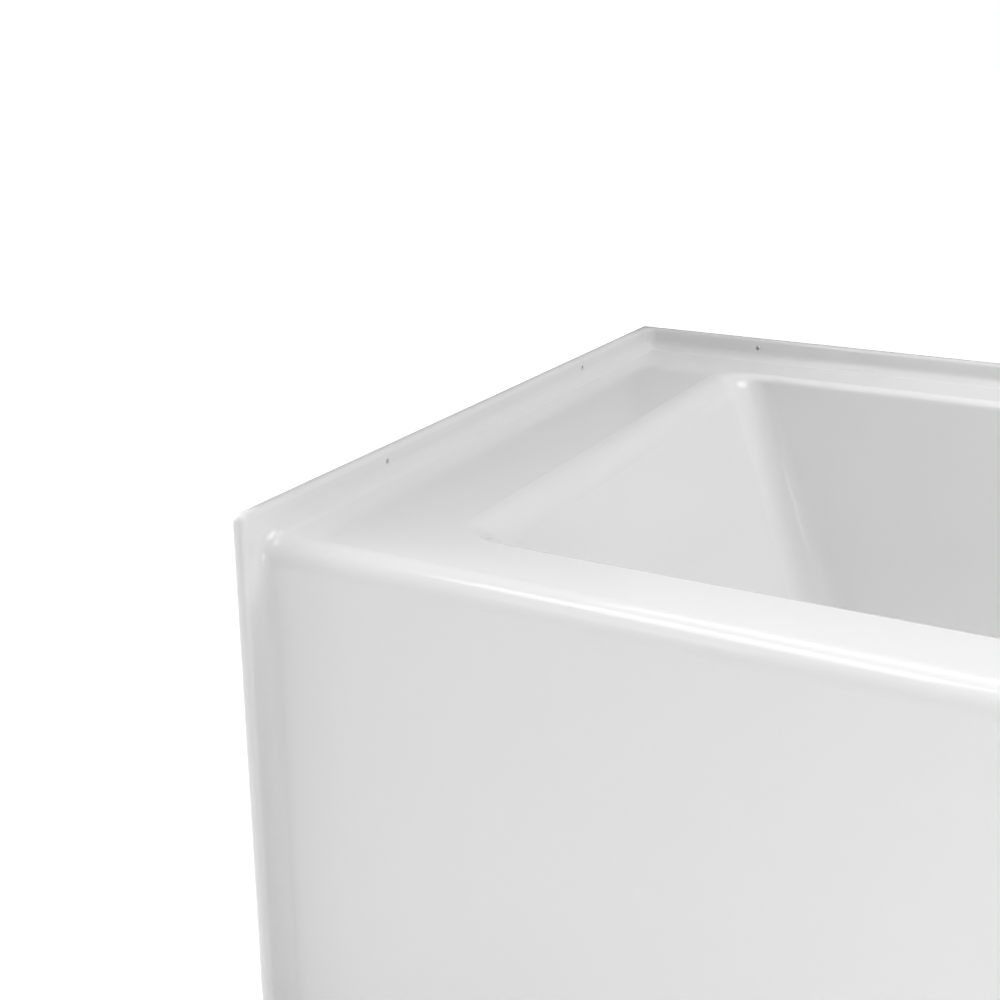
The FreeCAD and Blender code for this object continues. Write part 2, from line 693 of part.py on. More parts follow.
shoe_floor = "(waste_level - bore_radius)"
shoe_body = join(
    "shoe_body",
    cylinder("shoe_cup", ("drain_x", "drain_y", f"{shoe_floor} - fitting_wall"), "shoe_radius",
             f"shoe_top - {shoe_floor} + fitting_wall"),
    cylinder("shoe_flange", ("drain_x", "drain_y", "shoe_top - shoe_flange_thickness"),
             "shoe_flange_radius", "shoe_flange_thickness"),
    cylinder("shoe_branch", ("drain_x", "drain_y", "waste_level"), "fitting_radius", "shoe_reach", pitch=90))
named(cut("shoe", shoe_body,
          cylinder("shoe_bore", ("drain_x", "drain_y", shoe_floor), "drain_tail_radius + socket_gap",
                   "underside"),
          cylinder("shoe_side_bore", ("drain_x", "drain_y", "waste_level"), "bore_radius", "shoe_reach",
                   pitch=90),
          cylinder("shoe_socket", ("drain_x + shoe_reach - socket_depth", "drain_y", "waste_level"),
                   "socket_radius", "socket_depth", pitch=90)),
      "drain_shoe")

# ---------------------------------------------------------------- overflow fitting

elbow_mouth = "(overflow_level - elbow_drop)"
elbow_length = "(stack_x + fitting_radius - elbow_face)"
elbow_body = join(
    "elbow_body",
    cylinder("elbow_flange", ("elbow_face", "drain_y", "overflow_level"), "elbow_flange_radius",
             "elbow_flange_thickness", pitch=90),
    cylinder("elbow_barrel", ("elbow_face", "drain_y", "overflow_level"), "elbow_radius", elbow_length,
             pitch=90),
    cylinder("elbow_leg", ("stack_x", "drain_y", elbow_mouth), "fitting_radius", "elbow_drop"))
named(cut("elbow", elbow_body,
          cylinder("elbow_bore", ("elbow_face", "drain_y", "overflow_level"), "elbow_radius - fitting_wall",
                   f"{elbow_length} - fitting_wall", pitch=90),
          cylinder("elbow_leg_bore", ("stack_x", "drain_y", elbow_mouth), "bore_radius", "elbow_drop"),
          cylinder("elbow_socket", ("stack_x", "drain_y", elbow_mouth), "socket_radius", "socket_depth")),
      "overflow_elbow")
named(ring("overflow_ring", "overflow_gasket_bore", "elbow_flange_radius", "overflow_gasket_thickness",
           x="behind_overflow", y="drain_y", z="overflow_level", pitch=90), "overflow_gasket")

# The bracket lies across the elbow's mouth and holds the lever's pin in two ears.
bracket_front = "(elbow_face - bracket_metal)"
ear_start = "(pivot_x - 2 * pin_radius)"
screw_holes = []
for side in ("-", ""):
    screw_y = f"drain_y {side or '+'} screw_spacing / 2"
    screw_holes.append(cylinder("screw_hole", (bracket_front, screw_y, "overflow_level"), "screw_radius",
                                "2 * bracket_metal", pitch=90))
ears = []
for inner in ("lever_metal / 2 + free_gap", "-lever_metal / 2 - free_gap - bracket_metal"):
    ears.append(box("ear", (ear_start, f"drain_y + {inner}", "overflow_level - 3 * pin_radius"),
                    (f"{bracket_front} - {ear_start}", "bracket_metal", "6 * pin_radius")))
bracket_body = join("bracket_body", box(
    "bracket_bar", (bracket_front, "drain_y - bracket_length / 2", "overflow_level - bracket_height / 2"),
    ("bracket_metal", "bracket_length", "bracket_height")), *ears)
pin_span = "(lever_metal + 2 * free_gap + 2 * bracket_metal)"
pin_start = ("pivot_x", f"drain_y - {pin_span} / 2", "overflow_level")
named(cut("bracket", bracket_body,
          box("bracket_slot", (f"{bracket_front} - bracket_metal", "drain_y - bracket_slot_width / 2",
                               "overflow_level - bracket_slot_height / 2"),
              ("3 * bracket_metal", "bracket_slot_width", "bracket_slot_height")),
          cylinder("ear_hole", pin_start, "pin_radius", pin_span, roll=-90), *screw_holes),
      "lever_bracket")
named(cylinder("pin", pin_start, "pin_radius", pin_span, roll=-90), "lever_pin")

# The plate is a shallow dish: its rim rests on the seat and its face stands out into the basin.
plate_dish = turned("plate_dish", [
    ("0", "plate_rise"), ("0", "plate_rise - plate_metal"),
    ("plate_radius - plate_rise", "plate_rise - plate_metal", "plate_rise"),
    ("plate_radius - plate_metal", "0"), ("plate_radius", "0"),
    ("plate_radius - plate_rise / 2", "plate_rise", "plate_rise")],
    x="overflow_x", y="drain_y", z="overflow_level", pitch=-90)
plate_face = "(overflow_x - plate_rise)"
plate_holes = [box("plate_slot", (f"{plate_face} - skin", "drain_y - slot_width / 2",
                                  "overflow_level - slot_height / 2"),
                   ("2 * skin", "slot_width", "slot_height"))]
screws = []
for side in ("-", "+"):
    screw_y = f"drain_y {side} screw_spacing / 2"
    plate_holes.append(cylinder("plate_hole", (f"{plate_face} - skin", screw_y, "overflow_level"),
                                "screw_radius + socket_gap", "2 * skin", pitch=90))
    screws.append(turned("screw", [
        ("0", "-screw_head_height"), ("screw_head_radius", "-screw_head_height", "screw_head_height / 2"),
        ("screw_head_radius", "0"), ("screw_radius", "0"), ("screw_radius", f"elbow_face - {plate_face}"),
        ("0", f"elbow_face - {plate_face}")],
        x=plate_face, y=screw_y, z="overflow_level", pitch=90))
named(cut("escutcheon", plate_dish, *plate_holes), "overflow_plate")
named(group("screws", *screws), "overflow_screws")

# ---------------------------------------------------------------- trip lever and linkage

# The lever is drawn level about its pivot and rests with its handle down, which closes the drain.
lever_eye = "(pin_radius + free_gap)"
lever_end = f"(lever_reach / cos(lever_swing / 2) + {lever_eye} + lever_height / 2)"
lever = doc.addObject("PartDesign::Body", "lever")
bar = drawn(lever, "lever_side", "XZ_Plane", [
    ("-handle_reach + handle_height", "-lever_height / 2"),
    (lever_end, "-lever_height / 2", "lever_height / 3"),
    (lever_end, "lever_height / 2", "lever_height / 3"),
    ("-handle_reach + handle_height", "lever_height / 2")])
bar_pad = lever.newObject("PartDesign::Pad", "lever_bar")
bar_pad.Profile = bar
bind(bar_pad, Length="lever_metal")
bar_pad.Midplane = True
grip = drawn(lever, "handle_side", "XZ_Plane", [
    ("-handle_reach", "-handle_height / 2", "handle_height / 3"),
    ("-lever_height * 3", "-lever_height / 2", "handle_height / 3"),
    ("-lever_height * 3", "lever_height / 2", "handle_height / 3"),
    ("-handle_reach", "handle_height / 2", "handle_height / 3")])
grip_pad = lever.newObject("PartDesign::Pad", "lever_handle")
grip_pad.Profile = grip
bind(grip_pad, Length="handle_width")
grip_pad.Midplane = True
doc.recompute()
pivot_hole = cylinder("pivot_hole", ("0", "-handle_width", "0"), "pin_radius + running_gap",
                      "2 * handle_width", roll=-90)
eye_slot = box("eye_slot", (f"lever_reach - {lever_eye}", "-handle_width", f"-{lever_eye}"),
               (f"lever_reach / cos(lever_swing / 2) - lever_reach + 2 * {lever_eye}", "2 * handle_width",
                f"2 * {lever_eye}"))
named(put(cut("lever_with_holes", lever, pivot_hole, eye_slot), "pivot_x", "drain_y", "overflow_level",
          pitch="-lever_swing / 2"), "trip_lever")

yoke_inside = "(lever_metal / 2 + free_gap)"
yoke_block = box("yoke_block",
                 ("stack_x - yoke_width / 2", f"drain_y - {yoke_inside} - yoke_cheek", "yoke_bottom"),
                 ("yoke_width", f"2 * ({yoke_inside} + yoke_cheek)", "yoke_depth + 2 * pin_radius"))
yoke_gap = box("yoke_gap", ("stack_x - yoke_width", f"drain_y - {yoke_inside}", "yoke_bottom + yoke_cheek"),
               ("2 * yoke_width", f"2 * {yoke_inside}", "2 * yoke_depth"))
yoke_pin_start = ("stack_x", f"drain_y - {yoke_inside} - yoke_cheek", "yoke_level")
yoke_span = f"2 * ({yoke_inside} + yoke_cheek)"
named(cut("yoke", yoke_block, yoke_gap,
          cylinder("yoke_hole", yoke_pin_start, "pin_radius", yoke_span, roll=-90)), "linkage_yoke")
named(cylinder("cross_pin", yoke_pin_start, "pin_radius", yoke_span, roll=-90), "yoke_pin")
rod_foot = "(adjuster_bottom - spring_height / 3)"
named(cylinder("rod", ("stack_x", "drain_y", rod_foot), "rod_radius", f"yoke_bottom - {rod_foot}"),
      "linkage_rod")
named(ring("adjuster", "rod_radius", "adjuster_radius", "adjuster_height",
           x="stack_x", y="drain_y", z="adjuster_bottom"), "adjuster_nut")
helix = doc.addObject("Part::Helix", "spring_line")
bind(helix, Radius="spring_radius", Pitch="spring_pitch", Height="spring_height - 2 * spring_wire")
wire = doc.addObject("Part::Circle", "spring_section")
bind(wire, Radius="spring_wire / 2")
put(wire, "spring_radius", "0", "0", roll=90)
doc.recompute()
spring = doc.addObject("Part::Sweep", "spring")
spring.Sections = [wire]
spring.Spine = (helix, ["Edge1"])
spring.Solid = True
spring.Frenet = True
named(put(spring, "stack_x", "drain_y", "spring_bottom + spring_wire"), "linkage_spring")

# ---------------------------------------------------------------- rocker and stopper

# The rocker is drawn level about its heel, which sits on the bottom of the waste tube.
nose = "(rocker_nose + rocker_overrun)"
tail = "(rocker_tail + rocker_overrun)"
arm = plate("rocker_bar", "XZ_Plane", [
    (f"-{nose}", "rocker_drop - rocker_height / 2"), ("0", "-rocker_height / 2"),
    (tail, "rocker_drop - rocker_height / 2"), (tail, "rocker_drop + rocker_height / 2"),
    ("0", "rocker_height / 2"), (f"-{nose}", "rocker_drop + rocker_height / 2")],
    "rocker_metal", midplane=True)
heel = cylinder("heel", ("0", "-rocker_metal / 2", "0"), "rocker_heel", "rocker_metal", roll=-90)
named(put(join("rocker", arm, heel), "fulcrum_x", "drain_y", "fulcrum_level", pitch="-half_rock"),
      "rocker_arm")

cap_bottom = "drain_level + stopper_stand"
named(turned("cap", [
    ("0", "0"), ("stopper_radius", "0"), ("stopper_radius", "stopper_edge", "stopper_edge / 2"),
    ("stopper_radius / 2", "stopper_crown", "stopper_radius"), ("0", "stopper_crown")],
    z=cap_bottom, **drain), "stopper_cap")
named(ring("seal", "seal_bore", "seal_radius", "seal_thickness",
           z=f"{cap_bottom} - seal_thickness", **drain), "stopper_seal")
fin_top = f"({cap_bottom} - seal_thickness)"
fin_reach = "(drain_bore - free_gap)"
fin_foot = f"{fin_top} - drain_cone_depth - fin_height"
fins = [
    box("fin", (f"drain_x - {fin_reach}", "drain_y - fin_thickness / 2", fin_foot),
        (f"2 * {fin_reach}", "fin_thickness", "fin_height")),
    box("fin", ("drain_x - fin_thickness / 2", f"drain_y - {fin_reach}", fin_foot),
        ("fin_thickness", f"2 * {fin_reach}", "fin_height"))]
stem = turned("stem", [
    ("0", "0"), ("stem_radius", "0", "stem_radius / 2"), ("stem_radius", f"{cap_bottom} - stem_bottom"),
    ("0", f"{cap_bottom} - stem_bottom")],
    z="stem_bottom", **drain)
named(join("finned_stem", stem, *fins), "stopper_stem")

# ---------------------------------------------------------------- check and write

doc.recompute()
for item in doc.Objects:
    if "Invalid" in item.State or "Error" in item.State:
        raise RuntimeError(f"{item.Name} failed: {item.State}")
os.makedirs("parts", exist_ok=True)
for piece in subparts:
    if piece.Shape.isNull() or not piece.Shape.isValid():
        raise RuntimeError(f"{piece.Label} has no valid shape")
    piece.Shape.exportStep(os.path.join("parts", piece.Label + ".step"))
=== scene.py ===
import math

import bmesh
import bpy
from mathutils import Matrix, Vector, noise
from mathutils.bvhtree import BVHTree


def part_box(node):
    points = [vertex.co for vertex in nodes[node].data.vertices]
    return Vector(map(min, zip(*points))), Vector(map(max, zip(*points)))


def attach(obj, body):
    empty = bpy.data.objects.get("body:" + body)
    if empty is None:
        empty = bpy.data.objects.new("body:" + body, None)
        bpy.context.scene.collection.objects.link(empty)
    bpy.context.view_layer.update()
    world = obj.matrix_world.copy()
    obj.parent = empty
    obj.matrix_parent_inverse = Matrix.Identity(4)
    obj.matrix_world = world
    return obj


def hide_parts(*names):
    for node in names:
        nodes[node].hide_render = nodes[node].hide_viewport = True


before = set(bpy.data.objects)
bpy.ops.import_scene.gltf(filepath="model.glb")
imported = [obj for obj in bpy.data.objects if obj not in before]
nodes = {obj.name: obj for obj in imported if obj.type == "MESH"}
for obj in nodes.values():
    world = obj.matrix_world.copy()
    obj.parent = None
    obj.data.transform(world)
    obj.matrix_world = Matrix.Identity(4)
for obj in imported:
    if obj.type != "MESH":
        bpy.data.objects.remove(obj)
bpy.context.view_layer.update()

# ---------------------------------------------------------------- view
# The camera stands in front of the tub, right of its front left corner, and looks down across the deck into
# the basin. It is turned by the three ways that are right, up and ahead for it.

scene = bpy.context.scene
scene.view_settings.view_transform = "Standard"
camera_data = bpy.data.cameras.new("camera")
camera_data.sensor_width = 36.0
camera_data.lens = 49.9
camera = bpy.data.objects.new("camera", camera_data)
scene.collection.objects.link(camera)
camera_place = Vector((-0.1170, -1.1833, 0.8295))
camera_right = Vector((0.88228, 0.47072, 0.00294))
camera_up = Vector((-0.15354, 0.28186, 0.94709))
camera_ahead = Vector((-0.44499, 0.83605, -0.32095))
camera.matrix_world = Matrix.Translation(camera_place) @ Matrix(
    (camera_right, camera_up, -camera_ahead)).transposed().to_4x4()
scene.camera = camera

# ---------------------------------------------------------------- studio
# A wide pale floor and soft boxes, over the tub, at its left and before its front. Two grey flags over the
# upright flanges hold light off the deck and the basin. The camera sees neither the flags nor the lights.


class Wiring:
    """One node tree, with short ways to add its nodes."""

    def __init__(self, tree):
        self.tree = tree

    def feed(self, socket, given):
        """Links the socket to another that is given, or sets it to a plain value."""
        if isinstance(given, bpy.types.NodeSocket):
            self.tree.links.new(given, socket)
        else:
            socket.default_value = given

    def add(self, kind, inputs=None, **settings):
        """A new node with its settings, fed by its inputs' names or numbers."""
        node = self.tree.nodes.new("ShaderNode" + kind)
        for name, setting in settings.items():
            setattr(node, name, setting)
        for name, given in (inputs or {}).items():
            self.feed(node.inputs[name], given)
        return node

    def math(self, operation, *values):
        node = self.add("Math", operation=operation)
        for socket, given in zip(node.inputs, values):
            self.feed(socket, given)
        return node.outputs[0]

    def ramp(self, given, start, end, low=0.0, high=1.0):
        """Goes from low to high while what is given goes from start to end."""
        return self.add("MapRange", {"Value": given, "From Min": start, "From Max": end, "To Min": low,
                                     "To Max": high}).outputs["Result"]

    def place(self):
        """The point on the surface, in its piece's own frame."""
        return self.add("TexCoord").outputs["Object"]


def stage_card(name, corners, grey):
    """A flat matt card that belongs to the studio and not to the tub."""
    mesh = bpy.data.meshes.new(name)
    mesh.from_pydata(corners, [], [(0, 1, 2, 3)])
    card = bpy.data.objects.new(name, mesh)
    scene.collection.objects.link(card)
    finish = bpy.data.materials.new(name)
    finish.use_nodes = True
    surface = finish.node_tree.nodes["Principled BSDF"].inputs
    surface["Base Color"].default_value = (grey, grey, grey, 1.0)
    surface["Roughness"].default_value = 0.7
    mesh.materials.append(finish)
    return card, surface, Wiring(finish.node_tree)


# The floor's own glow is mostly for the camera, so that it goes over into white around the part.
floor_reach, floor_grey = 30.0, 0.9
steady_glow, near_glow, far_glow = 0.08, 0.30, 0.75
floor_corners = [(x * floor_reach, y * floor_reach, 0) for x, y in ((-1, -1), (1, -1), (1, 1), (-1, 1))]
surface, wiring = stage_card("floor", floor_corners, floor_grey)[1:]
away = wiring.add("VectorMath", {0: wiring.place()}, operation="LENGTH").outputs["Value"]
seen_glow = wiring.ramp(away, 1.2, 4.5, near_glow, far_glow)
seen = wiring.add("LightPath").outputs["Is Camera Ray"]
surface["Emission Color"].default_value = (1.0, 1.0, 1.0, 1.0)
wiring.feed(surface["Emission Strength"], wiring.math("ADD", steady_glow,
                                                      wiring.math("MULTIPLY", seen, seen_glow)))

# Each flag stands just clear of a flange, from the tub's back left corner to its own end.
flag_foot, flag_grey = 0.484, 0.5
flag_corner = (-0.77, 0.412)
for name, end, flag_top in (("back_flag", (2.4, 0.412), 0.68), ("left_flag", (-0.77, -0.39), 1.15)):
    flag = stage_card(
        name, [(*flag_corner, flag_foot), (*end, flag_foot), (*end, flag_top), (*flag_corner, flag_top)],
        flag_grey)[0]
    flag.visible_camera = False

# Pale light all round, strongest from the left and a little stronger from behind. The camera sees white.
world = bpy.data.worlds.new("studio")
scene.world = world
world.use_nodes = True
wiring = Wiring(world.node_tree)
sky = world.node_tree.nodes["Background"].inputs
sky_way = wiring.add("TexCoord").outputs["Generated"]
brightness = 0.10
for way, most in (((-1.0, 0.0, 0.3), 0.925), ((-0.3, 1.0, 0.25), 0.10)):
    toward = wiring.add("VectorMath", {0: sky_way, 1: Vector(way).normalized()}, operation="DOT_PRODUCT")
    lobe = wiring.add("MapRange", {"Value": toward.outputs["Value"], "From Min": 0.1, "From Max": 0.95,
                                   "To Max": most}, interpolation_type="SMOOTHSTEP").outputs["Result"]
    brightness = wiring.math("ADD", brightness, lobe)
sky["Color"].default_value = (1.0, 1.0, 1.0, 1.0)
wiring.feed(sky["Strength"], wiring.math("MAXIMUM", brightness,
                                         wiring.add("LightPath").outputs["Is Camera Ray"]))


def softbox(name, place, aim, width, height, brightness):
    """A flat soft light, whose brightness is that of its face."""
    data = bpy.data.lights.new(name, "AREA")
    data.shape = "RECTANGLE"
    data.size = width
    data.size_y = height
    data.energy = brightness * width * height * math.pi
    lamp = bpy.data.objects.new(name, data)
    lamp.location = place
    lamp.rotation_euler = (Vector(aim) - Vector(place)).to_track_quat("-Z", "Y").to_euler()
    lamp.visible_camera = False
    scene.collection.objects.link(lamp)


softbox("overhead", (-0.5, -0.2, 2.4), (-0.5, -0.2, 0.0), 2.6, 1.6, 0.53)
softbox("over_right", (0.9, 0.2, 2.2), (-0.2, 0.0, 0.3), 1.4, 1.0, 4.73)
softbox("over_drain_end", (1.0, 0.1, 1.4), (-0.3, 0.0, 0.2), 0.8, 0.6, 1.83)
softbox("over_corner", (-0.9, -0.7, 2.0), (-0.8, -0.3, 0.3), 1.0, 0.6, 2.80)
softbox("over_back", (-1.05, 0.75, 2.2), (-1.05, 0.75, 0.0), 1.4, 0.8, 1.6)
softbox("left", (-2.8, -0.5, 1.6), (0.0, 0.0, 0.3), 1.4, 1.2, 4.5)
softbox("front_low", (0.6, -1.3, 0.5), (0.1, -0.3, 0.25), 0.5, 0.5, 5.28)
softbox("front_left", (-1.0, -1.5, 1.3), (-0.76, -0.4, 0.45), 0.5, 0.4, 1.04)

# ---------------------------------------------------------------- tub shell
# One sheet of white cast acrylic, drawn by vacuum into deck, basin, apron and flanges. Its show side is as
# glossy as it left the mould, and its hidden side is sprayed with chopped glass in polyester resin.


class SurfaceWiring(Wiring):
    """Adds the nodes for a surface's colour, gloss and relief."""

    def product(self, *values):
        result = values[0]
        for given in values[1:]:
            result = self.math("MULTIPLY", result, given)
        return result

    def largest(self, *values):
        result = values[0]
        for given in values[1:]:
            result = self.math("MAXIMUM", result, given)
        return result

    def blend(self, share, first, second):
        """The first colour where the share is 0, the second where it is 1."""
        node = self.add("Mix", data_type="RGBA")
        for index, given in ((0, share), (6, first), (7, second)):
            self.feed(node.inputs[index], given)
        return node.outputs[2]

    def noise(self, place, scale, detail=2.0, distortion=0.0):
        return self.add("TexNoise", {"Vector": place, "Scale": scale, "Detail": detail,
                                     "Distortion": distortion}).outputs["Fac"]

    def scaled(self, place, scale):
        return self.add("VectorMath", {0: place, 1: scale}, operation="MULTIPLY").outputs["Vector"]

    def drawn_out(self, place, length, width, turn):
        """Place made long one way, so that a noise on it runs in strands that way."""
        return self.add("Mapping", {"Vector": place, "Scale": (length, width, width), "Rotation": turn},
                        vector_type="TEXTURE").outputs["Vector"]

    def relief(self, height, depth):
        """The surface's normal, bent by a height that is multiplied by a depth in metres."""
        return self.add("Bump", {"Height": height, "Distance": depth, "Strength": 1.0}).outputs["Normal"]

    def facing(self):
        """The way the surface faces, in its piece's own frame."""
        return self.add("TexCoord").outputs["Normal"]

    def parts(self, vector):
        return self.add("SeparateXYZ", {"Vector": vector}).outputs


def new_finish(name, **plain):
    """A material, its shader and its wiring, with the values that are the same all over."""
    material = bpy.data.materials.new(name)
    material.use_nodes = True
    shader = material.node_tree.nodes["Principled BSDF"]
    for socket, given in plain.items():
        shader.inputs[socket.replace("_", " ")].default_value = given
    return material, shader.inputs, SurfaceWiring(material.node_tree)


def shared_effect(name, inputs, outputs):
    """A node group with its named inputs, given with their first values, and its named outputs."""
    tree = bpy.data.node_groups.new(name, "ShaderNodeTree")
    for label, start in inputs.items():
        kind = "Float" if isinstance(start, float) else ("Color" if len(start) == 4 else "Vector")
        socket = tree.interface.new_socket(label, in_out="INPUT", socket_type="NodeSocket" + kind)
        socket.default_value = start
    for label, kind in outputs.items():
        tree.interface.new_socket(label, in_out="OUTPUT", socket_type="NodeSocket" + kind)
    return (tree, SurfaceWiring(tree), tree.nodes.new("NodeGroupInput").outputs,
            tree.nodes.new("NodeGroupOutput").inputs)


# Chopped glass strands lie every way in the resin, over lumps where it was rolled out.
glass_mat, wiring, given, result = shared_effect(
    "glass_mat",
    {"Place": (0.0, 0.0, 0.0), "Resin": (0.46, 0.44, 0.38, 1.0), "Strand": (0.66, 0.65, 0.60, 1.0)},
    {"Colour": "Color", "Roughness": "Float", "Height": "Float"})
strand_length, strand_width, strands = 0.030, 0.0018, 0.0
for strand_turn in ((0.2, 0.9, 0.4), (0.5, 0.3, 2.3), (0.4, 1.3, 1.4), (1.3, -0.8, 0.9), (0.1, -0.3, -0.9)):
    strand_place = wiring.drawn_out(given["Place"], strand_length, strand_width, strand_turn)
    lines = wiring.noise(strand_place, 1.0, 1.0, 0.4)
    strands = wiring.math("MAXIMUM", strands, wiring.ramp(lines, 0.62, 0.72))
lumps = wiring.noise(given["Place"], 55.0, 3.0)
pools = wiring.ramp(wiring.noise(given["Place"], 9.0, 2.0), 0.35, 0.70)
thin_resin = (0.55, 0.53, 0.47, 1.0)
wiring.feed(result["Colour"], wiring.blend(
    wiring.math("MULTIPLY", strands, 0.75), wiring.blend(pools, given["Resin"], thin_resin),
    given["Strand"]))
wiring.feed(result["Roughness"], wiring.ramp(lumps, 0.3, 0.7, 0.32, 0.55))
wiring.feed(result["Height"], wiring.math("ADD", wiring.math("MULTIPLY", lumps, 1.2),
                                         wiring.math("MULTIPLY", strands, 0.35)))

# The hidden side is what lies behind the apron and under the deck, and the flanges' and wings' outer faces.
# The overflow's seat in the basin also looks down a little, but it is acrylic.
tub_low, tub_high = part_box("tub_shell")
half_length, half_depth = tub_high.x, tub_high.y
shell_thickness, flange_thickness, wing_reach, toe_return = 0.006, 0.0113, 0.0215, 0.030
under_deck = 0.451
apron_inside = wing_reach + shell_thickness - half_depth
waste_line, overflow_level, overflow_seat_radius = 0.0115, 0.365, 0.046
overflow_front, overflow_back = 0.5, 0.6355
margin = 0.0005
# How far a face behind the apron looks down, and how far back or up, before it counts as hidden.
turned_down, turned_away = -0.02, 0.3

acrylic, surface, wiring = new_finish("white_acrylic", IOR=1.49)
place = wiring.place()
at = wiring.parts(place)
facing = wiring.parts(wiring.facing())
outward = wiring.math("ABSOLUTE", at["X"])
within = wiring.product(wiring.math("GREATER_THAN", at["Y"], apron_inside - margin),
                        wiring.math("LESS_THAN", at["Z"], under_deck + margin))
behind_apron = wiring.product(within, wiring.math("LESS_THAN", outward, half_length - flange_thickness))
from_overflow = wiring.add(
    "VectorMath", {0: wiring.scaled(place, (0.0, 1.0, 1.0)), 1: (0.0, waste_line, overflow_level)},
    operation="DISTANCE").outputs["Value"]
overflow_seat = wiring.product(wiring.math("LESS_THAN", from_overflow, overflow_seat_radius + 3 * margin),
                               wiring.math("GREATER_THAN", at["X"], overflow_front),
                               wiring.math("LESS_THAN", at["X"], overflow_back))
underneath = wiring.product(behind_apron, wiring.math("LESS_THAN", facing["Z"], turned_down),
                            wiring.math("SUBTRACT", 1.0, overflow_seat))
apron_back = wiring.product(
    behind_apron, wiring.math("GREATER_THAN", facing["Y"], turned_away),
    wiring.math("LESS_THAN", at["Y"], wing_reach + toe_return - half_depth + 2 * margin))
toe_top = wiring.product(behind_apron, wiring.math("LESS_THAN", at["Z"], shell_thickness + margin),
                         wiring.math("GREATER_THAN", facing["Z"], turned_away))
end_returns = wiring.product(within,
                             wiring.math("GREATER_THAN", outward, half_length - 2 * shell_thickness))
hidden = wiring.largest(underneath, apron_back, toe_top, end_returns,
                        wiring.math("GREATER_THAN", outward, half_length - margin),
                        wiring.math("GREATER_THAN", at["Y"], half_depth - margin))
backing = wiring.add("Group", {"Place": place}, node_tree=glass_mat).outputs
cast = wiring.noise(place, 3.0, 2.0)
white, dimmer_white = (0.855, 0.855, 0.855, 1.0), (0.845, 0.845, 0.845, 1.0)
wiring.feed(surface["Base Color"], wiring.blend(
    hidden, wiring.blend(cast, dimmer_white, white), backing["Colour"]))
glossiest, dullest = 0.095, 0.125
polish = wiring.ramp(wiring.noise(place, 160.0, 2.0), 0.35, 0.65, glossiest, dullest)
wiring.feed(surface["Roughness"],
            wiring.add("Mix", {0: hidden, 2: polish, 3: backing["Roughness"]}).outputs[0])
ripple = wiring.math("MULTIPLY", wiring.noise(place, 34.0, 1.0), 0.035)

# Strips of fine grit, moulded along the basin's floor, keep wet feet from slipping.
strip_width, strips_reach, strips_length, strips_middle = 0.012, 0.126, 0.740, -0.02
side_fade, end_fade = 0.001, 0.002
above_floor, nearly_up, straight_up = 0.125, 0.95, 0.99
across = wiring.math("ABSOLUTE", wiring.math("SUBTRACT", at["Y"], waste_line))
along = wiring.math("ABSOLUTE", wiring.math("SUBTRACT", at["X"], strips_middle))
strip = wiring.math("PINGPONG", wiring.math("ADD", across, strip_width / 2), strip_width)
grit_field = wiring.product(
    wiring.ramp(strip, strip_width / 2, strip_width * 0.55),
    wiring.ramp(across, strips_reach + side_fade, strips_reach - side_fade),
    wiring.ramp(along, strips_length / 2 + end_fade, strips_length / 2 - end_fade),
    wiring.math("LESS_THAN", at["Z"], above_floor), wiring.ramp(facing["Z"], nearly_up, straight_up))
grains = wiring.add("TexVoronoi", {"Vector": place, "Scale": 480.0}).outputs["Distance"]
grit = wiring.ramp(grains, 0.55, 0.15)
show_relief = wiring.math("ADD", ripple, wiring.product(grit, grit_field, 0.22))
wiring.feed(surface["Normal"], wiring.relief(
    wiring.add("Mix", {0: hidden, 2: show_relief, 3: backing["Height"]}).outputs[0], 0.0008))


def dress(finish, *names):
    """Gives a finish to the nodes named."""
    for name in names:
        nodes[name].material_slots[0].material = finish


dress(acrylic, "tub_shell")

# ---------------------------------------------------------------- floor board and bearers
# A plywood board bedded in resin under the basin's floor carries the bather's weight. Three bearers of sawn
# softwood, glued on edge across its underside, hold it up.

# Growth rings round a pith that lies off the piece, with fibres, a few knots and the saw's marks.
sawn_timber, wiring, given, result = shared_effect(
    "sawn_timber",
    {"Place": (0.0, 0.0, 0.0), "Pale": (0.66, 0.50, 0.31, 1.0), "Dark": (0.42, 0.27, 0.14, 1.0),
     "Rings": 190.0, "Saw marks": 1.0},
    {"Colour": "Color", "Roughness": "Float", "Height": "Float"})
wander = wiring.add("TexNoise", {"Vector": wiring.scaled(given["Place"], (2.4, 9.0, 9.0)), "Scale": 1.0,
                                 "Detail": 2.0}).outputs["Color"]
bent = wiring.add("VectorMath", {0: given["Place"], 1: wander, 2: (0.0, 0.035, 0.035)},
                  operation="MULTIPLY_ADD").outputs["Vector"]
from_pith = wiring.add("VectorMath", {0: wiring.scaled(bent, (0.0, 1.0, 1.0)), 1: (0.0, 0.06, 0.11)},
                       operation="DISTANCE").outputs["Value"]
ring = wiring.math("FRACT", wiring.math("MULTIPLY", from_pith, given["Rings"]))
late_wood = wiring.math("POWER", ring, 2.5)
fibres = wiring.noise(wiring.scaled(given["Place"], (14.0, 900.0, 900.0)), 1.0, 3.0)
knot = wiring.add("TexVoronoi", {"Vector": wiring.scaled(given["Place"], (0.55, 1.0, 1.0)),
                                 "Scale": 7.0}).outputs["Distance"]
knots = wiring.ramp(knot, 0.07, 0.03)
bands = wiring.noise(wiring.scaled(given["Place"], (420.0, 6.0, 6.0)), 1.0, 1.0)
tone = wiring.blend(late_wood, given["Pale"], given["Dark"])
tone = wiring.blend(wiring.ramp(fibres, 0.45, 0.75, 0.0, 0.45), tone, given["Dark"])
knot_brown = (0.17, 0.09, 0.04, 1.0)
wiring.feed(result["Colour"], wiring.blend(wiring.math("MULTIPLY", knots, 0.85), tone, knot_brown))
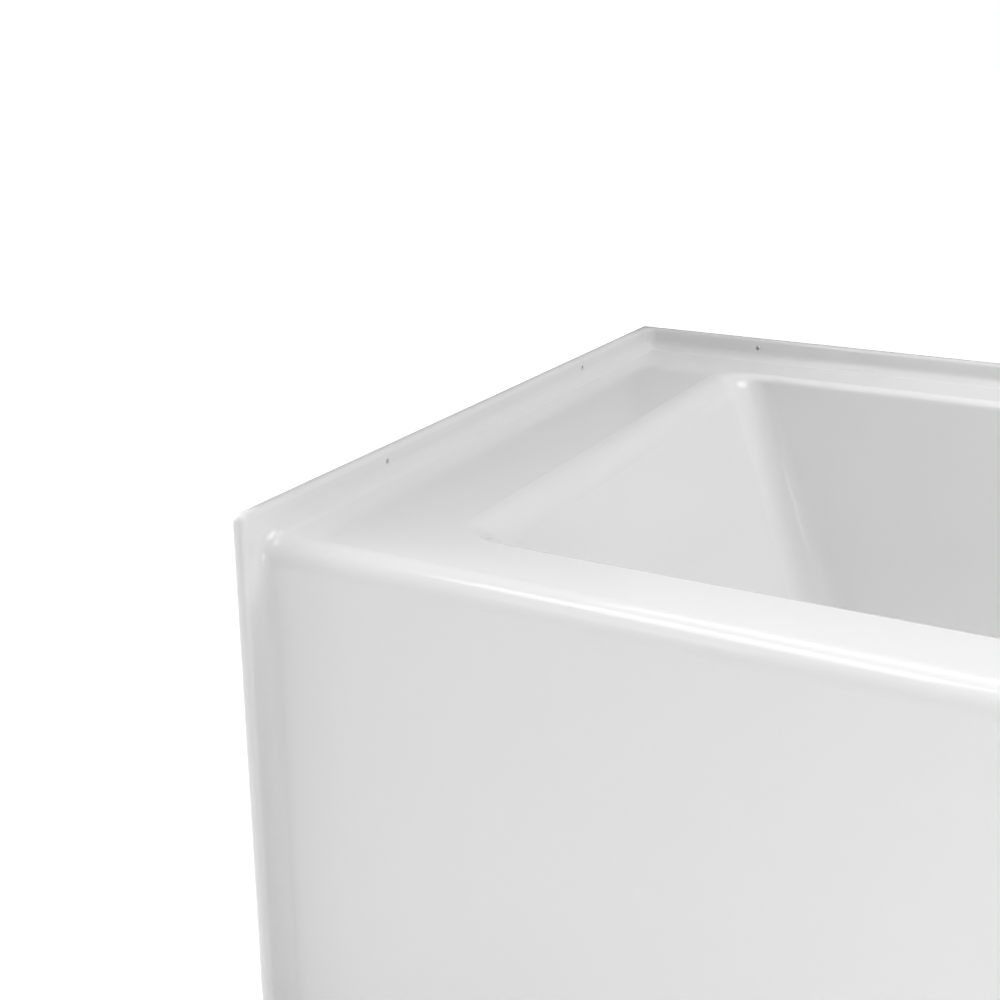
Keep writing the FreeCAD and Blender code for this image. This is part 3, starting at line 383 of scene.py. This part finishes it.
wiring.feed(result["Roughness"], wiring.ramp(fibres, 0.3, 0.7, 0.62, 0.86))
wiring.feed(result["Height"], wiring.math(
    "ADD", wiring.math("MULTIPLY", fibres, 0.8),
    wiring.math("ADD", wiring.math("MULTIPLY", late_wood, 0.25),
                wiring.product(bands, given["Saw marks"], 0.6))))

# Dust settles on what faces up, thicker in patches.
settled_dust, wiring, given, result = shared_effect(
    "settled_dust", {"Place": (0.0, 0.0, 0.0), "Facing": (0.0, 0.0, 1.0), "Colour": (0.5, 0.5, 0.5, 1.0),
                     "Roughness": 0.5, "Amount": 0.3},
    {"Colour": "Color", "Roughness": "Float"})
upward = wiring.ramp(wiring.parts(given["Facing"])["Z"], 0.2, 0.9)
patches = wiring.ramp(wiring.noise(given["Place"], 42.0, 4.0), 0.35, 0.65)
patchy = wiring.ramp(patches, 0.0, 1.0, 0.4, 1.0)
share = wiring.product(upward, patchy, given["Amount"])
dust_colour, dust_roughness = (0.60, 0.57, 0.52, 1.0), 0.9
wiring.feed(result["Colour"], wiring.blend(share, given["Colour"], dust_colour))
duller = wiring.math("SUBTRACT", dust_roughness, given["Roughness"])
wiring.feed(result["Roughness"], wiring.math("ADD", given["Roughness"],
                                             wiring.math("MULTIPLY", share, duller)))


def finish_with(surface, wiring, look, depth, dust=0.0):
    """Joins a group's colour, roughness and relief to the shader, under dust where there is any."""
    colour, roughness = look["Colour"], look["Roughness"]
    if dust:
        dusty = wiring.add("Group", {"Place": wiring.place(), "Facing": wiring.facing(), "Colour": colour,
                                     "Roughness": roughness, "Amount": dust}, node_tree=settled_dust).outputs
        colour, roughness = dusty["Colour"], dusty["Roughness"]
    wiring.feed(surface["Base Color"], colour)
    wiring.feed(surface["Roughness"], roughness)
    wiring.feed(surface["Normal"], wiring.relief(look["Height"], depth))


# Each length of timber has its grain along its own run.
timber = {}
for run, order in (("X", "XYZ"), ("Y", "YXZ"), ("Z", "ZXY")):
    timber[run], surface, wiring = new_finish("sawn_timber_along_" + run.lower())
    at = wiring.parts(wiring.place())
    along = wiring.add("CombineXYZ", {0: at[order[0]], 1: at[order[1]], 2: at[order[2]]}).outputs["Vector"]
    look = wiring.add("Group", {"Place": along}, node_tree=sawn_timber).outputs
    finish_with(surface, wiring, look, 0.0005, dust=0.25)

# The board's faces show one veneer, and its edges show seven with their grain turned each time.
board_low, board_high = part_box("floor_board")
veneer_pairs = 3.5
plywood, surface, wiring = new_finish("plywood_board")
place = wiring.place()
up_edge = wiring.ramp(wiring.parts(place)["Z"], board_low.z, board_high.z, 0.0, veneer_pairs)
veneer = wiring.math("FRACT", up_edge)
facing = wiring.parts(wiring.facing())
edge = wiring.math("LESS_THAN", wiring.math("ABSOLUTE", facing["Z"]), 0.5)
crossed = wiring.product(edge, wiring.math("GREATER_THAN", veneer, 0.5))
face_grain = wiring.add("Group", {"Place": place, "Rings": 60.0, "Saw marks": 0.1},
                        node_tree=sawn_timber).outputs
end_grain = (0.33, 0.20, 0.10, 1.0)
wiring.feed(surface["Base Color"],
            wiring.blend(wiring.math("MULTIPLY", crossed, 0.7), face_grain["Colour"], end_grain))
wiring.feed(surface["Roughness"], face_grain["Roughness"])
wiring.feed(surface["Normal"], wiring.relief(
    wiring.math("SUBTRACT", face_grain["Height"], wiring.math("MULTIPLY", crossed, 0.6)), 0.0004))

dress(plywood, "floor_board")
dress(timber["Y"], "bearer_left", "bearer_middle", "bearer_right")

# ---------------------------------------------------------------- foot pads
# Pads of black rubber, moulded with ridges round their sides and glued under the bearers, stand on the floor
# and take up its unevenness.

# Fine grain of a mould's face, with the faint cloudiness of moulded stock.
moulding_grain, wiring, given, result = shared_effect(
    "moulding_grain",
    {"Place": (0.0, 0.0, 0.0), "Colour": (0.5, 0.5, 0.5, 1.0), "Clouded": (0.45, 0.45, 0.45, 1.0),
     "Grain": 1400.0, "Smoothest": 0.3, "Roughest": 0.5},
    {"Colour": "Color", "Roughness": "Float", "Height": "Float"})
clouds = wiring.noise(given["Place"], 28.0, 3.0)
grain = wiring.noise(given["Place"], given["Grain"], 2.0)
scuff_length, scuff_width, scuff_turn = 0.016, 0.0012, (0.4, 0.3, 0.6)
scuff_place = wiring.drawn_out(given["Place"], scuff_length, scuff_width, scuff_turn)
scuffs = wiring.ramp(wiring.noise(scuff_place, 1.0, 2.0), 0.66, 0.74)
wiring.feed(result["Colour"], wiring.blend(wiring.ramp(clouds, 0.35, 0.7), given["Colour"], given["Clouded"]))
wiring.feed(result["Roughness"], wiring.math("ADD", wiring.math("MULTIPLY", scuffs, 0.08), wiring.add(
    "MapRange", {"Value": clouds, "From Min": 0.3, "From Max": 0.7, "To Min": given["Smoothest"],
                 "To Max": given["Roughest"]}).outputs["Result"]))
wiring.feed(result["Height"], wiring.math("SUBTRACT", grain, wiring.math("MULTIPLY", scuffs, 0.3)))

ridge_pitch_mm = 2.5
pad_rubber, surface, wiring = new_finish("pad_rubber", Specular_IOR_Level=0.35)
place = wiring.place()
look = wiring.add("Group", {"Place": place, "Colour": (0.030, 0.030, 0.031, 1.0),
                            "Clouded": (0.048, 0.047, 0.046, 1.0), "Grain": 900.0, "Smoothest": 0.55,
                            "Roughest": 0.72}, node_tree=moulding_grain).outputs
ridge = wiring.math("PINGPONG", wiring.math("MULTIPLY", wiring.parts(place)["Z"], 1000.0),
                    ridge_pitch_mm / 2)
ridged = wiring.math("ADD", wiring.math("MULTIPLY", look["Height"], 0.15), ridge)
wiring.feed(surface["Base Color"], look["Colour"])
wiring.feed(surface["Roughness"], look["Roughness"])
wiring.feed(surface["Normal"], wiring.relief(ridged, 0.0005))

dress(pad_rubber, "foot_pads")

# ---------------------------------------------------------------- resin and glass tape under the board
# Clear resin with some glass in it, brushed into the corners round the bearers, holds them to the board. Tape
# of glass cloth, laid in the same resin, covers the board's edges and runs out over the basin's underside.

brushed_resin, surface, wiring = new_finish("brushed_resin", Coat_Weight=0.25, Coat_Roughness=0.12)
look = wiring.add("Group", {"Place": wiring.place(), "Resin": (0.50, 0.45, 0.33, 1.0),
                            "Strand": (0.64, 0.61, 0.52, 1.0)}, node_tree=glass_mat).outputs
finish_with(surface, wiring, look, 0.0006)


def add_piece(name, points, faces, finish, crease=50.0):
    """A piece on the tub from its points and faces, smooth up to edges sharper than the crease."""
    mesh = bpy.data.meshes.new(name)
    mesh.from_pydata(points, [], faces)
    shaped = bmesh.new()
    shaped.from_mesh(mesh)
    bmesh.ops.remove_doubles(shaped, verts=shaped.verts, dist=1e-6)
    bmesh.ops.recalc_face_normals(shaped, faces=shaped.faces)
    shaped.to_mesh(mesh)
    shaped.free()
    mesh.shade_smooth()
    mesh.set_sharp_from_angle(angle=math.radians(crease))
    mesh.materials.append(finish)
    piece = bpy.data.objects.new(name, mesh)
    scene.collection.objects.link(piece)
    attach(piece, "tub")
    return piece


def steps_along(start, end, out, step):
    """Points along a straight edge, each with the way out from the piece."""
    pieces = max(2, round((end - start).length / step))
    return [(start.lerp(end, part / pieces), out) for part in range(pieces + 1)]


def steps_round(corners, step):
    """Points round a closed outline with the way out of it; at a corner the way turns on the spot."""
    corners = [Vector(corner) for corner in corners]
    middle = sum(corners, Vector()) / len(corners)
    sides = []
    for start, end in zip(corners, corners[1:] + corners[:1]):
        run = (end - start).normalized()
        out = (start + end) / 2 - middle
        sides.append((start, end, (out - run * out.dot(run)).normalized()))
    found, turns = [], 5
    for index, (start, end, out) in enumerate(sides):
        found += steps_along(start, end, out, step)
        following = sides[(index + 1) % len(sides)][2]
        found += [(end.copy(), out.lerp(following, turn / turns).normalized()) for turn in range(1, turns)]
    return found


def skin_over(name, sections, closed, finish, ring=True):
    """A piece through sections of equally many points, in a closed row or with two ends.

    Each section is a ring of points, or an open line of them where the piece is a sheet."""
    size = len(sections[0])
    points = [point for section in sections for point in section]
    faces = []
    for index in range(len(sections) if closed else len(sections) - 1):
        first, second = index * size, (index + 1) % len(sections) * size
        for side in range(size if ring else size - 1):
            after = (side + 1) % size
            faces.append((first + side, first + after, second + after, second + side))
    if ring and not closed:
        faces += [tuple(range(size)), tuple(range(len(points) - size, len(points)))]
    return add_piece(name, points, faces, finish)


def resin_bead(name, steps, away, leg, closed=True):
    """A hollow fillet of resin in the corner along a glued piece; away is the way up the piece's side."""
    away = Vector(away)
    sunk, uneven, far, near = 0.0003, 0.55, 0.52, 0.20
    sections = []
    for point, out in steps:
        wide = leg * (0.85 + uneven * noise.noise(point * 34.0))
        tall = leg * (0.80 + uneven * noise.noise(point * 41.0 + Vector((3.0, 1.0, 7.0))))
        sections.append([point - (out + away) * sunk, point + out * wide - away * sunk,
                         point + out * wide * far + away * tall * near,
                         point + out * wide * near + away * tall * far, point + away * tall - out * sunk])
    skin_over(name, sections, closed, brushed_resin)


def outline_of(box, level):
    """The four corners of a box as it is seen from above, at a level."""
    low, high = box
    return [(low.x, low.y, level), (high.x, low.y, level), (high.x, high.y, level), (low.x, high.y, level)]


bead_step, bearer_bead_leg = 0.009, 0.006
for side in ("left", "middle", "right"):
    glued_edge = outline_of(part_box("bearer_" + side), board_low.z)
    resin_bead("bearer_bead_" + side, steps_round(glued_edge, bead_step), (0, 0, -1), bearer_bead_leg)

# Each strip of the tape starts on the board's edge and lies against the basin's underside, wherever that is.
tub_skin = BVHTree.FromObject(nodes["tub_shell"], bpy.context.evaluated_depsgraph_get())
tape_width, tape_thickness, tape_fray, tape_step = 0.034, 0.0011, 0.004, 0.010
tape_climb, looked_up_from = 0.004, 0.02
sections = []
for point, out in steps_round(outline_of((board_low, board_high), board_low.z), tape_step):
    frayed = tape_width + tape_fray * noise.noise(point * 60.0)
    foot = point + out * tape_thickness
    foot.z = board_low.z + tape_climb + 0.002 * noise.noise(point * 50.0)
    section = [foot]
    for share in (0.0, 0.10, 0.25, 0.45, 0.65, 0.85, 1.0):
        under = point + out * (tape_thickness + frayed * share)
        hit = tub_skin.ray_cast(Vector((under.x, under.y, looked_up_from)), Vector((0, 0, 1)))[0]
        sag = tape_thickness * (1.6 if share < 0.2 else 1.0) + 0.0004 * noise.noise(under * 90.0)
        section.append(Vector((under.x, under.y, hit.z - sag)))
    sections.append(section)
tape = skin_over("board_tape", sections, True, brushed_resin, ring=False)
thicken = tape.modifiers.new("thickness", "SOLIDIFY")
thicken.thickness = tape_thickness
thicken.offset = 0.0

# ---------------------------------------------------------------- rim rails, toe rail and apron battens
# Lengths of sawn softwood that stiffen the shell: rails under the deck round the basin, a rail along the
# apron's foot and three upright battens behind it. All are bedded in glue, and the rails round the basin and
# the battens are sealed by a bead of resin.

dress(timber["X"], "front_rim_rail", "back_rim_rail", "toe_rail")
dress(timber["Y"], "left_rim_rail", "right_rim_rail")
dress(timber["Z"], "apron_batten_left", "apron_batten_middle", "apron_batten_right")

rail_bead_leg = 0.0065
for rail in ("front", "back", "left", "right"):
    glued_edge = outline_of(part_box(rail + "_rim_rail"), under_deck)
    resin_bead("rim_bead_" + rail, steps_round(glued_edge, bead_step), (0, 0, -1), rail_bead_leg)
for batten in ("left", "middle", "right"):
    low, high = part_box("apron_batten_" + batten)
    for side, edge, out in (("a", low.x, Vector((-1, 0, 0))), ("b", high.x, Vector((1, 0, 0)))):
        foot, head = Vector((edge, apron_inside, low.z)), Vector((edge, apron_inside, high.z))
        resin_bead(f"batten_bead_{batten}_{side}", steps_along(foot, head, out, bead_step), (0, 1, 0),
                   rail_bead_leg, closed=False)

# ---------------------------------------------------------------- waste pipework
# Rigid white plastic: the waste tube from the drain, the standing overflow tube and the tailpiece meet in a
# moulded tee. At each mouth a slip nut on the tee's coarse thread squeezes a soft washer round the tube.


def plastic(name, colour, clouded, smoothest, roughest, depth, grain=1400.0, dust=0.18, **plain):
    """A moulded plastic or rubber, a little cloudy, between its smoothest and its roughest."""
    finish, surface, wiring = new_finish(name, **plain)
    look = wiring.add("Group", {"Place": wiring.place(), "Colour": (*colour, 1.0), "Clouded": (*clouded, 1.0),
                                "Grain": grain, "Smoothest": smoothest, "Roughest": roughest},
                      node_tree=moulding_grain).outputs
    finish_with(surface, wiring, look, depth, dust)
    return finish


pipe_plastic = plastic("pipe_plastic", (0.80, 0.80, 0.77), (0.77, 0.77, 0.74), 0.24, 0.36, 0.00003)
fitting_plastic = plastic("fitting_plastic", (0.74, 0.74, 0.71), (0.70, 0.70, 0.67), 0.34, 0.50, 0.00008,
                          grain=900.0)
nut_plastic = plastic("nut_plastic", (0.71, 0.71, 0.69), (0.67, 0.67, 0.65), 0.30, 0.44, 0.00006,
                      grain=1100.0)
washer_plastic = plastic("washer_plastic", (0.42, 0.52, 0.62), (0.36, 0.46, 0.57), 0.38, 0.52, 0.00004,
                         Transmission_Weight=0.15)
dress(pipe_plastic, "waste_tube", "overflow_tube", "tailpiece")
dress(fitting_plastic, "waste_tee", "drain_shoe", "overflow_elbow")
dress(nut_plastic, "stack_nut", "outlet_nut", "branch_nut")
dress(washer_plastic, "stack_washer", "outlet_washer", "branch_washer")


def about(start, way, angle, radius, along):
    """A point round a line from start, at an angle, a radius and a distance along it."""
    way = Vector(way)
    side = Vector((0, 1, 0))
    return Vector(start) + way * along + side * (radius * math.cos(angle)) + way.cross(side) * (
        radius * math.sin(angle))


def coarse_thread(name, start, way, radius, length):
    """A raised thread that winds along a fitting's outside and fades in and out at its ends."""
    pitch, height, sunk = 0.0028, 0.0011, 0.0003
    half_foot, half_crest = pitch * 0.42, pitch * 0.14
    steps_a_turn, fading_steps = 40, 10
    turns = length / pitch
    count = round(turns * steps_a_turn)
    sections = []
    for index in range(count + 1):
        angle = 2 * math.pi * turns * index / count
        along = length * index / count
        crest = radius + height * min(1.0, index / fading_steps, (count - index) / fading_steps)
        sections.append([about(start, way, angle, radius - sunk, along - half_foot),
                         about(start, way, angle, crest, along - half_crest),
                         about(start, way, angle, crest, along + half_crest),
                         about(start, way, angle, radius - sunk, along + half_foot)])
    skin_over(name, sections, False, fitting_plastic)


def nut_lugs(name, start, way):
    """Lugs on the eight corners of a slip nut, to turn it by hand."""
    inner, outer, near_end, far_end = 0.0262, 0.0300, 0.0030, 0.0170
    lug_outline = ((-0.110, inner), (-0.068, outer), (0.068, outer), (0.110, inner))
    points, faces = [], []
    for corner in range(8):
        first = len(points)
        for along in (near_end, far_end):
            points += [about(start, way, math.pi * corner / 4 + turn, radius, along)
                       for turn, radius in lug_outline]
        faces += [(first, first + 1, first + 2, first + 3), (first + 4, first + 5, first + 6, first + 7)]
        faces += [(first + side, first + (side + 1) % 4, first + 4 + (side + 1) % 4, first + 4 + side)
                  for side in range(4)]
    lugs = add_piece(name, points, faces, nut_plastic, crease=30.0)
    rounding = lugs.modifiers.new("rounding", "BEVEL")
    rounding.width = 0.0007
    rounding.segments = 3


tee_low, tee_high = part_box("waste_tee")
tube_low, tube_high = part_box("overflow_tube")
tube_radius, fitting_radius = (tube_high.y - tube_low.y) / 2, (tee_high.y - tee_low.y) / 2
tee_reach = (tee_high.z - tee_low.z) / 2
stack_x = (tube_low.x + tube_high.x) / 2
tee_middle = Vector((stack_x, waste_line, (tee_low.z + tee_high.z) / 2))
nut_cover, thread_seen, thread_length = 0.013, 0.0045, 0.0075
for name, way in (("stack", (0, 0, 1)), ("outlet", (0, 0, -1)), ("branch", (-1, 0, 0))):
    nut_foot = tee_middle + Vector(way) * (tee_reach - nut_cover)
    coarse_thread(name + "_thread", nut_foot - Vector(way) * thread_seen, way, fitting_radius, thread_length)
    nut_lugs(name + "_nut_lugs", nut_foot, way)

# ---------------------------------------------------------------- drain and overflow fittings
# The chromed brass flange screws down through the basin's floor into the moulded shoe, on a rubber gasket.
# High on the drain end, a chromed plate covers the overflow: two screws draw it to the bracket behind.

# Fine lines from polishing or brushing, with duller metal in patches.
worked_metal, wiring, given, result = shared_effect(
    "worked_metal", {"Place": (0.0, 0.0, 0.0), "Metal": (0.6, 0.6, 0.6, 1.0), "Dulled": (0.5, 0.5, 0.5, 1.0),
                     "Smoothest": 0.1, "Roughest": 0.2, "Lines": 1.0},
    {"Colour": "Color", "Roughness": "Float", "Height": "Float"})
lines = wiring.noise(wiring.scaled(given["Place"], (90.0, 90.0, 3200.0)), 1.0, 2.0)
patches = wiring.noise(given["Place"], 85.0, 4.0)
wiring.feed(result["Colour"], wiring.blend(wiring.ramp(patches, 0.40, 0.72), given["Metal"], given["Dulled"]))
wiring.feed(result["Roughness"], wiring.add(
    "MapRange", {"Value": wiring.math("ADD", wiring.math("MULTIPLY", lines, 0.5), wiring.math(
        "MULTIPLY", patches, 0.5)), "From Min": 0.3, "From Max": 0.7, "To Min": given["Smoothest"],
                 "To Max": given["Roughest"]}).outputs["Result"])
wiring.feed(result["Height"], wiring.math("MULTIPLY", lines, given["Lines"]))


def metal(name, colour, dulled, smoothest, roughest, lines, depth, dust=0.0):
    """A worked metal with lines of the tool, duller in patches."""
    finish, surface, wiring = new_finish(name, Metallic=1.0)
    look = wiring.add("Group", {"Place": wiring.place(), "Metal": (*colour, 1.0), "Dulled": (*dulled, 1.0),
                                "Smoothest": smoothest, "Roughest": roughest, "Lines": lines},
                      node_tree=worked_metal).outputs
    finish_with(surface, wiring, look, depth, dust)
    return finish


chrome = metal("chrome", (0.83, 0.84, 0.86), (0.79, 0.80, 0.83), 0.045, 0.10, 0.3, 0.000006)
steel = metal("brushed_steel", (0.56, 0.56, 0.55), (0.47, 0.47, 0.46), 0.26, 0.40, 1.0, 0.00004, 0.1)
seal_rubber = plastic("seal_rubber", (0.020, 0.020, 0.021), (0.034, 0.034, 0.034), 0.45, 0.62, 0.00005,
                      grain=1600.0, dust=0.0, Specular_IOR_Level=0.35)
dress(chrome, "drain_flange", "overflow_plate")
dress(steel, "lever_bracket")
dress(seal_rubber, "drain_gasket", "overflow_gasket")

# ---------------------------------------------------------------- overflow screws
# Two chromed screws with oval heads, a driver's slot and a rolled thread hold the overflow plate. They run
# through it into the bracket behind, and each was left with its slot turned its own way.

screw_low, screw_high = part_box("overflow_screws")
screw_level, screw_length = (screw_low.z + screw_high.z) / 2, screw_high.x - screw_low.x
head_radius, shank_radius, slot_depth, slot_width = 0.0042, 0.0022, 0.0012, 0.0010
thread_pitch, thread_depth, thread_start, screw_sides = 0.0007, 0.00025, 0.0030, 40
head_outline = [(0.0014, 0.00006), (0.0028, 0.00035), (0.0037, 0.0009), (0.00415, 0.0016),
                (head_radius, 0.0024), (0.0030, 0.00242), (shank_radius, 0.0026)]
thread_outline = []
for turn in range(int((screw_length - thread_start) / thread_pitch)):
    back = thread_start + turn * thread_pitch
    thread_outline += [(shank_radius - thread_depth, back), (shank_radius, back + thread_pitch / 2)]
rings = head_outline + thread_outline + [(shank_radius - thread_depth, screw_length)]
first_screw, second_screw = screw_low.y + head_radius, screw_high.y - head_radius
points, faces = [], []
for screw_y in (first_screw, second_screw):
    first = len(points)
    for radius, back in rings:
        points += [about((screw_low.x, screw_y, screw_level), (1, 0, 0), 2 * math.pi * step / screw_sides,
                         radius, back) for step in range(screw_sides)]
    for row in range(first, len(points) - screw_sides, screw_sides):
        for step in range(screw_sides):
            after = (step + 1) % screw_sides
            faces.append((row + step, row + after, row + screw_sides + after, row + screw_sides + step))
    faces += [tuple(range(first, first + screw_sides)), tuple(range(len(points) - screw_sides, len(points)))]
screws = add_piece("slotted_screws", points, faces, chrome, crease=40.0)
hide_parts("overflow_screws")
for screw_y, lean in ((first_screw, 0.35), (second_screw, -0.9)):
    slot_mesh = bpy.data.meshes.new("driver_slot")
    shaped = bmesh.new()
    bmesh.ops.create_cube(shaped, size=1.0)
    shaped.to_mesh(slot_mesh)
    shaped.free()
    cutter = bpy.data.objects.new("driver_slot", slot_mesh)
    scene.collection.objects.link(cutter)
    slot_size = Matrix.Diagonal((2 * slot_depth, 4 * head_radius, slot_width, 1.0))
    slot_place = Matrix.Translation((screw_low.x, screw_y, screw_level))
    cutter.matrix_world = slot_place @ Matrix.Rotation(lean, 4, "X") @ slot_size
    slotted = screws.modifiers.new("slot", "BOOLEAN")
    slotted.object = cutter
    slotted.solver = "EXACT"
    bpy.context.view_layer.update()
    cut_mesh = bpy.data.meshes.new_from_object(screws.evaluated_get(bpy.context.evaluated_depsgraph_get()))
    screws.modifiers.clear()
    screws.data = cut_mesh
    bpy.data.objects.remove(cutter)

# ---------------------------------------------------------------- collars and cement
# The shoe and the elbow are thickened by a moulded collar at the mouth of their sockets. The tubes are glued
# in with solvent cement, which was squeezed out round them and set in an uneven ring.

solvent_cement, surface, wiring = new_finish("solvent_cement", Coat_Weight=0.4, Coat_Roughness=0.08)
look = wiring.add("Group", {"Place": wiring.place(), "Colour": (0.66, 0.64, 0.55, 1.0),
                            "Clouded": (0.58, 0.55, 0.45, 1.0), "Grain": 300.0, "Smoothest": 0.15,
                            "Roughest": 0.3}, node_tree=moulding_grain).outputs
finish_with(surface, wiring, look, 0.0001)


def cement_ring(name, mouth, way, radius):
    """An uneven roll of cement round a tube at a socket's mouth."""
    count, sunk = 72, 0.0002
    sections = []
    for index in range(count):
        angle = 2 * math.pi * index / count
        around_it = Vector((math.cos(angle), math.sin(angle), 0.0)) * 3.0
        wide = 0.0019 + 0.0009 * noise.noise(around_it)
        tall = 0.0021 + 0.0012 * noise.noise(around_it + Vector((5.0, 2.0, 1.0)))
        sections.append([about(mouth, way, angle, radius - sunk, -sunk),
                         about(mouth, way, angle, radius + wide, -sunk),
                         about(mouth, way, angle, radius + wide * 0.75, tall * 0.55),
                         about(mouth, way, angle, radius + wide * 0.35, tall * 0.9),
                         about(mouth, way, angle, radius - sunk, tall)])
    skin_over(name, sections, True, solvent_cement)


def mouth_collar(name, mouth, way):
    """The moulded collar that thickens a fitting at its mouth, with a rounded edge."""
    outline = ((-0.0002, 0.0), (0.0012, 0.0), (0.0019, 0.0006), (0.0021, 0.0014), (0.0021, 0.0060),
               (0.0016, 0.0072), (-0.0002, 0.0090))
    count = 64
    sections = []
    for index in range(count):
        angle = 2 * math.pi * index / count
        sections.append([about(mouth, way, angle, fitting_radius + raised, -back)
                         for raised, back in outline])
    skin_over(name, sections, True, fitting_plastic)


shoe_mouth = Vector((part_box("drain_shoe")[1].x, waste_line, tee_middle.z))
elbow_mouth = Vector((stack_x, waste_line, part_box("overflow_elbow")[0].z))
for fitting, mouth, way in (("shoe", shoe_mouth, (1, 0, 0)), ("elbow", elbow_mouth, (0, 0, -1))):
    mouth_collar(fitting + "_collar", mouth, way)
    cement_ring(fitting + "_cement", mouth, way, tube_radius)

# ---------------------------------------------------------------- trip lever and linkage
# The chromed lever turns on a steel pin behind the plate. A turned brass yoke and rod hang from its inner end
# in the standing tube, with a nut to set their length and a steel spring that bears on the rocker.

brass = metal("turned_brass", (0.74, 0.53, 0.25), (0.50, 0.34, 0.16), 0.22, 0.38, 1.0, 0.00003, 0.1)
dress(chrome, "trip_lever")
dress(steel, "lever_pin", "yoke_pin", "linkage_spring")
dress(brass, "linkage_yoke", "linkage_rod", "adjuster_nut")

# ---------------------------------------------------------------- rocker and stopper
# A brass rocker lies loose in the waste tube. Its nose lifts the stopper: a chromed cap on a finned brass
# stem, with a rubber seal under the cap that closes the drain.

dress(brass, "rocker_arm", "stopper_stem")
dress(chrome, "stopper_cap")
dress(seal_rubber, "stopper_seal")
